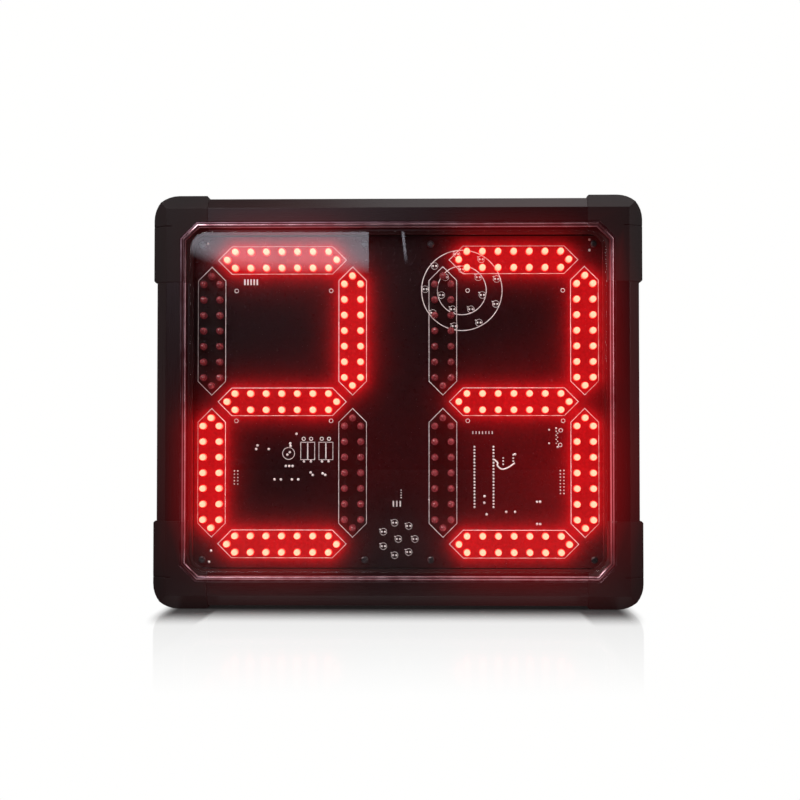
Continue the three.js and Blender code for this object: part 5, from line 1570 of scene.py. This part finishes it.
def studio_world():
    """White for camera rays. For all others the brightness rises from the front, -Y, to the back."""
    world = bpy.data.worlds.new("studio")
    scene.world = world
    world.use_nodes = True
    tree = world.node_tree
    tree.nodes.clear()
    output = tree.nodes.new("ShaderNodeOutputWorld")
    direction = add(tree, "ShaderNodeTexCoord").outputs["Generated"]
    towards_back = add(tree, "ShaderNodeSeparateXYZ", inputs={0: direction}).outputs["Y"]
    level = add(tree, "ShaderNodeMapRange", {"interpolation_type": "SMOOTHSTEP"}, {
        "Value": towards_back, "From Min": ROOM_DARK_UNTIL, "From Max": ROOM_BRIGHT_FROM,
        "To Min": ROOM_DARK, "To Max": ROOM_BRIGHT})
    room = add(tree, "ShaderNodeBackground", inputs={"Color": (1, 1, 1, 1), "Strength": level})
    white = add(tree, "ShaderNodeBackground", inputs={"Color": FULL_WHITE, "Strength": 1.0})
    camera_ray = add(tree, "ShaderNodeLightPath").outputs["Is Camera Ray"]
    mixed = add(tree, "ShaderNodeMixShader", inputs={0: camera_ray, 1: room, 2: white})
    tree.links.new(mixed.outputs[0], output.inputs[0])


studio_world()

# %% [markdown]
# ## Soft boxes
# A soft box is a lamp behind a large cloth, which makes its shadows soft. An area lamp does the same.
# Each is given a place, a point to look at, a size in metres and a power in watts.

# %% Soft boxes
def soft_box(name, place, aim, size, watts):
    """A rectangular area lamp at a place, turned towards an aim."""
    lamp = bpy.data.lights.new(name, "AREA")
    lamp.shape = "RECTANGLE"
    lamp.size, lamp.size_y = size
    lamp.energy = watts
    box = bpy.data.objects.new(name, lamp)
    scene.collection.objects.link(box)
    box.location = place
    box.rotation_euler = (Vector(aim) - Vector(place)).to_track_quat("-Z", "Y").to_euler()


CLOCK_MIDDLE = (0, 0, MIDDLE_Z)
soft_box("overhead_box", (0.36, -0.16, 1.13), (0.36, -0.16, 0), (0.90, 0.5), 2.9)
soft_box("key_box", (-0.95, -1.25, 1.45), CLOCK_MIDDLE, (1.4, 0.6), 32)
soft_box("fill_box", (1.5, -1.0, 0.7), CLOCK_MIDDLE, (0.6, 0.9), 8)

# %% [markdown]
# ## What the window mirrors
# Two more soft boxes are seen in the window alone: a wide one at its top left and a narrow one beside
# its middle. Each is a card that gives off light and stands behind the camera, hidden from it so that
# a view from the back doesn't show it. A card is a small grid over its foot, which may be curved. Its
# light rises from nothing at the foot to its full value a short way up, as the edge of a cloth box
# does.

# %% Cards
CARD_Y = -1.636
CARD_LIGHT = 2.2
CARD_COLOUR = (0.92, 0.94, 1.08, 1)
CARD_FADE = 0.025
# For each card: its places across, the foot's height at each, the top's height, and the lean
CARDS = {"window_card": ([-0.62, -0.46, -0.42, -0.39, -0.35, -0.29, -0.092],
                         [0.530, 0.487, 0.471, 0.459, 0.446, 0.437, 0.437], 0.80, 0.0),
         "window_strip": ([-0.026, -0.021], [0.455, 0.455], 0.53, -0.107)}


def glowing_cloth():
    """A cloth lit from behind, as bright as the stored rise says."""
    material, tree, output, _ = new_material("soft_box_cloth_stretched")
    rise = add(tree, "ShaderNodeAttribute", {"attribute_name": "rise"}).outputs["Fac"]
    strength = add(tree, "ShaderNodeMath", {"operation": "MULTIPLY"}, {0: rise, 1: CARD_LIGHT})
    shader = add(tree, "ShaderNodeEmission", inputs={"Color": CARD_COLOUR, "Strength": strength})
    tree.links.new(shader.outputs[0], output.inputs[0])
    return material


def window_card(name, across, foot, top, lean, cloth):
    """A card over a foot of (x, z) points, up to a height, whose upper part leans to one side."""
    across, foot = np.array(across), np.array(foot)
    heights = np.stack([foot, foot + CARD_FADE, np.full_like(foot, top)])
    x = across + lean * (heights - foot)
    points = np.stack([x, np.full_like(x, CARD_Y), heights], -1).reshape(-1, 3)
    mesh = bpy.data.meshes.new(name)
    mesh.from_pydata(points.tolist(), [], grid_faces(3, len(foot)).tolist())
    mesh.materials.append(cloth)
    card = bpy.data.objects.new(name, mesh)
    store(card, "rise", np.repeat([0.0, 1.0, 1.0], len(foot)))
    scene.collection.objects.link(card)
    card.visible_camera = False


cloth = glowing_cloth()
for name, limits in CARDS.items():
    window_card(name, *limits, cloth)
    print(name, "stands over", len(limits[0]), "points")
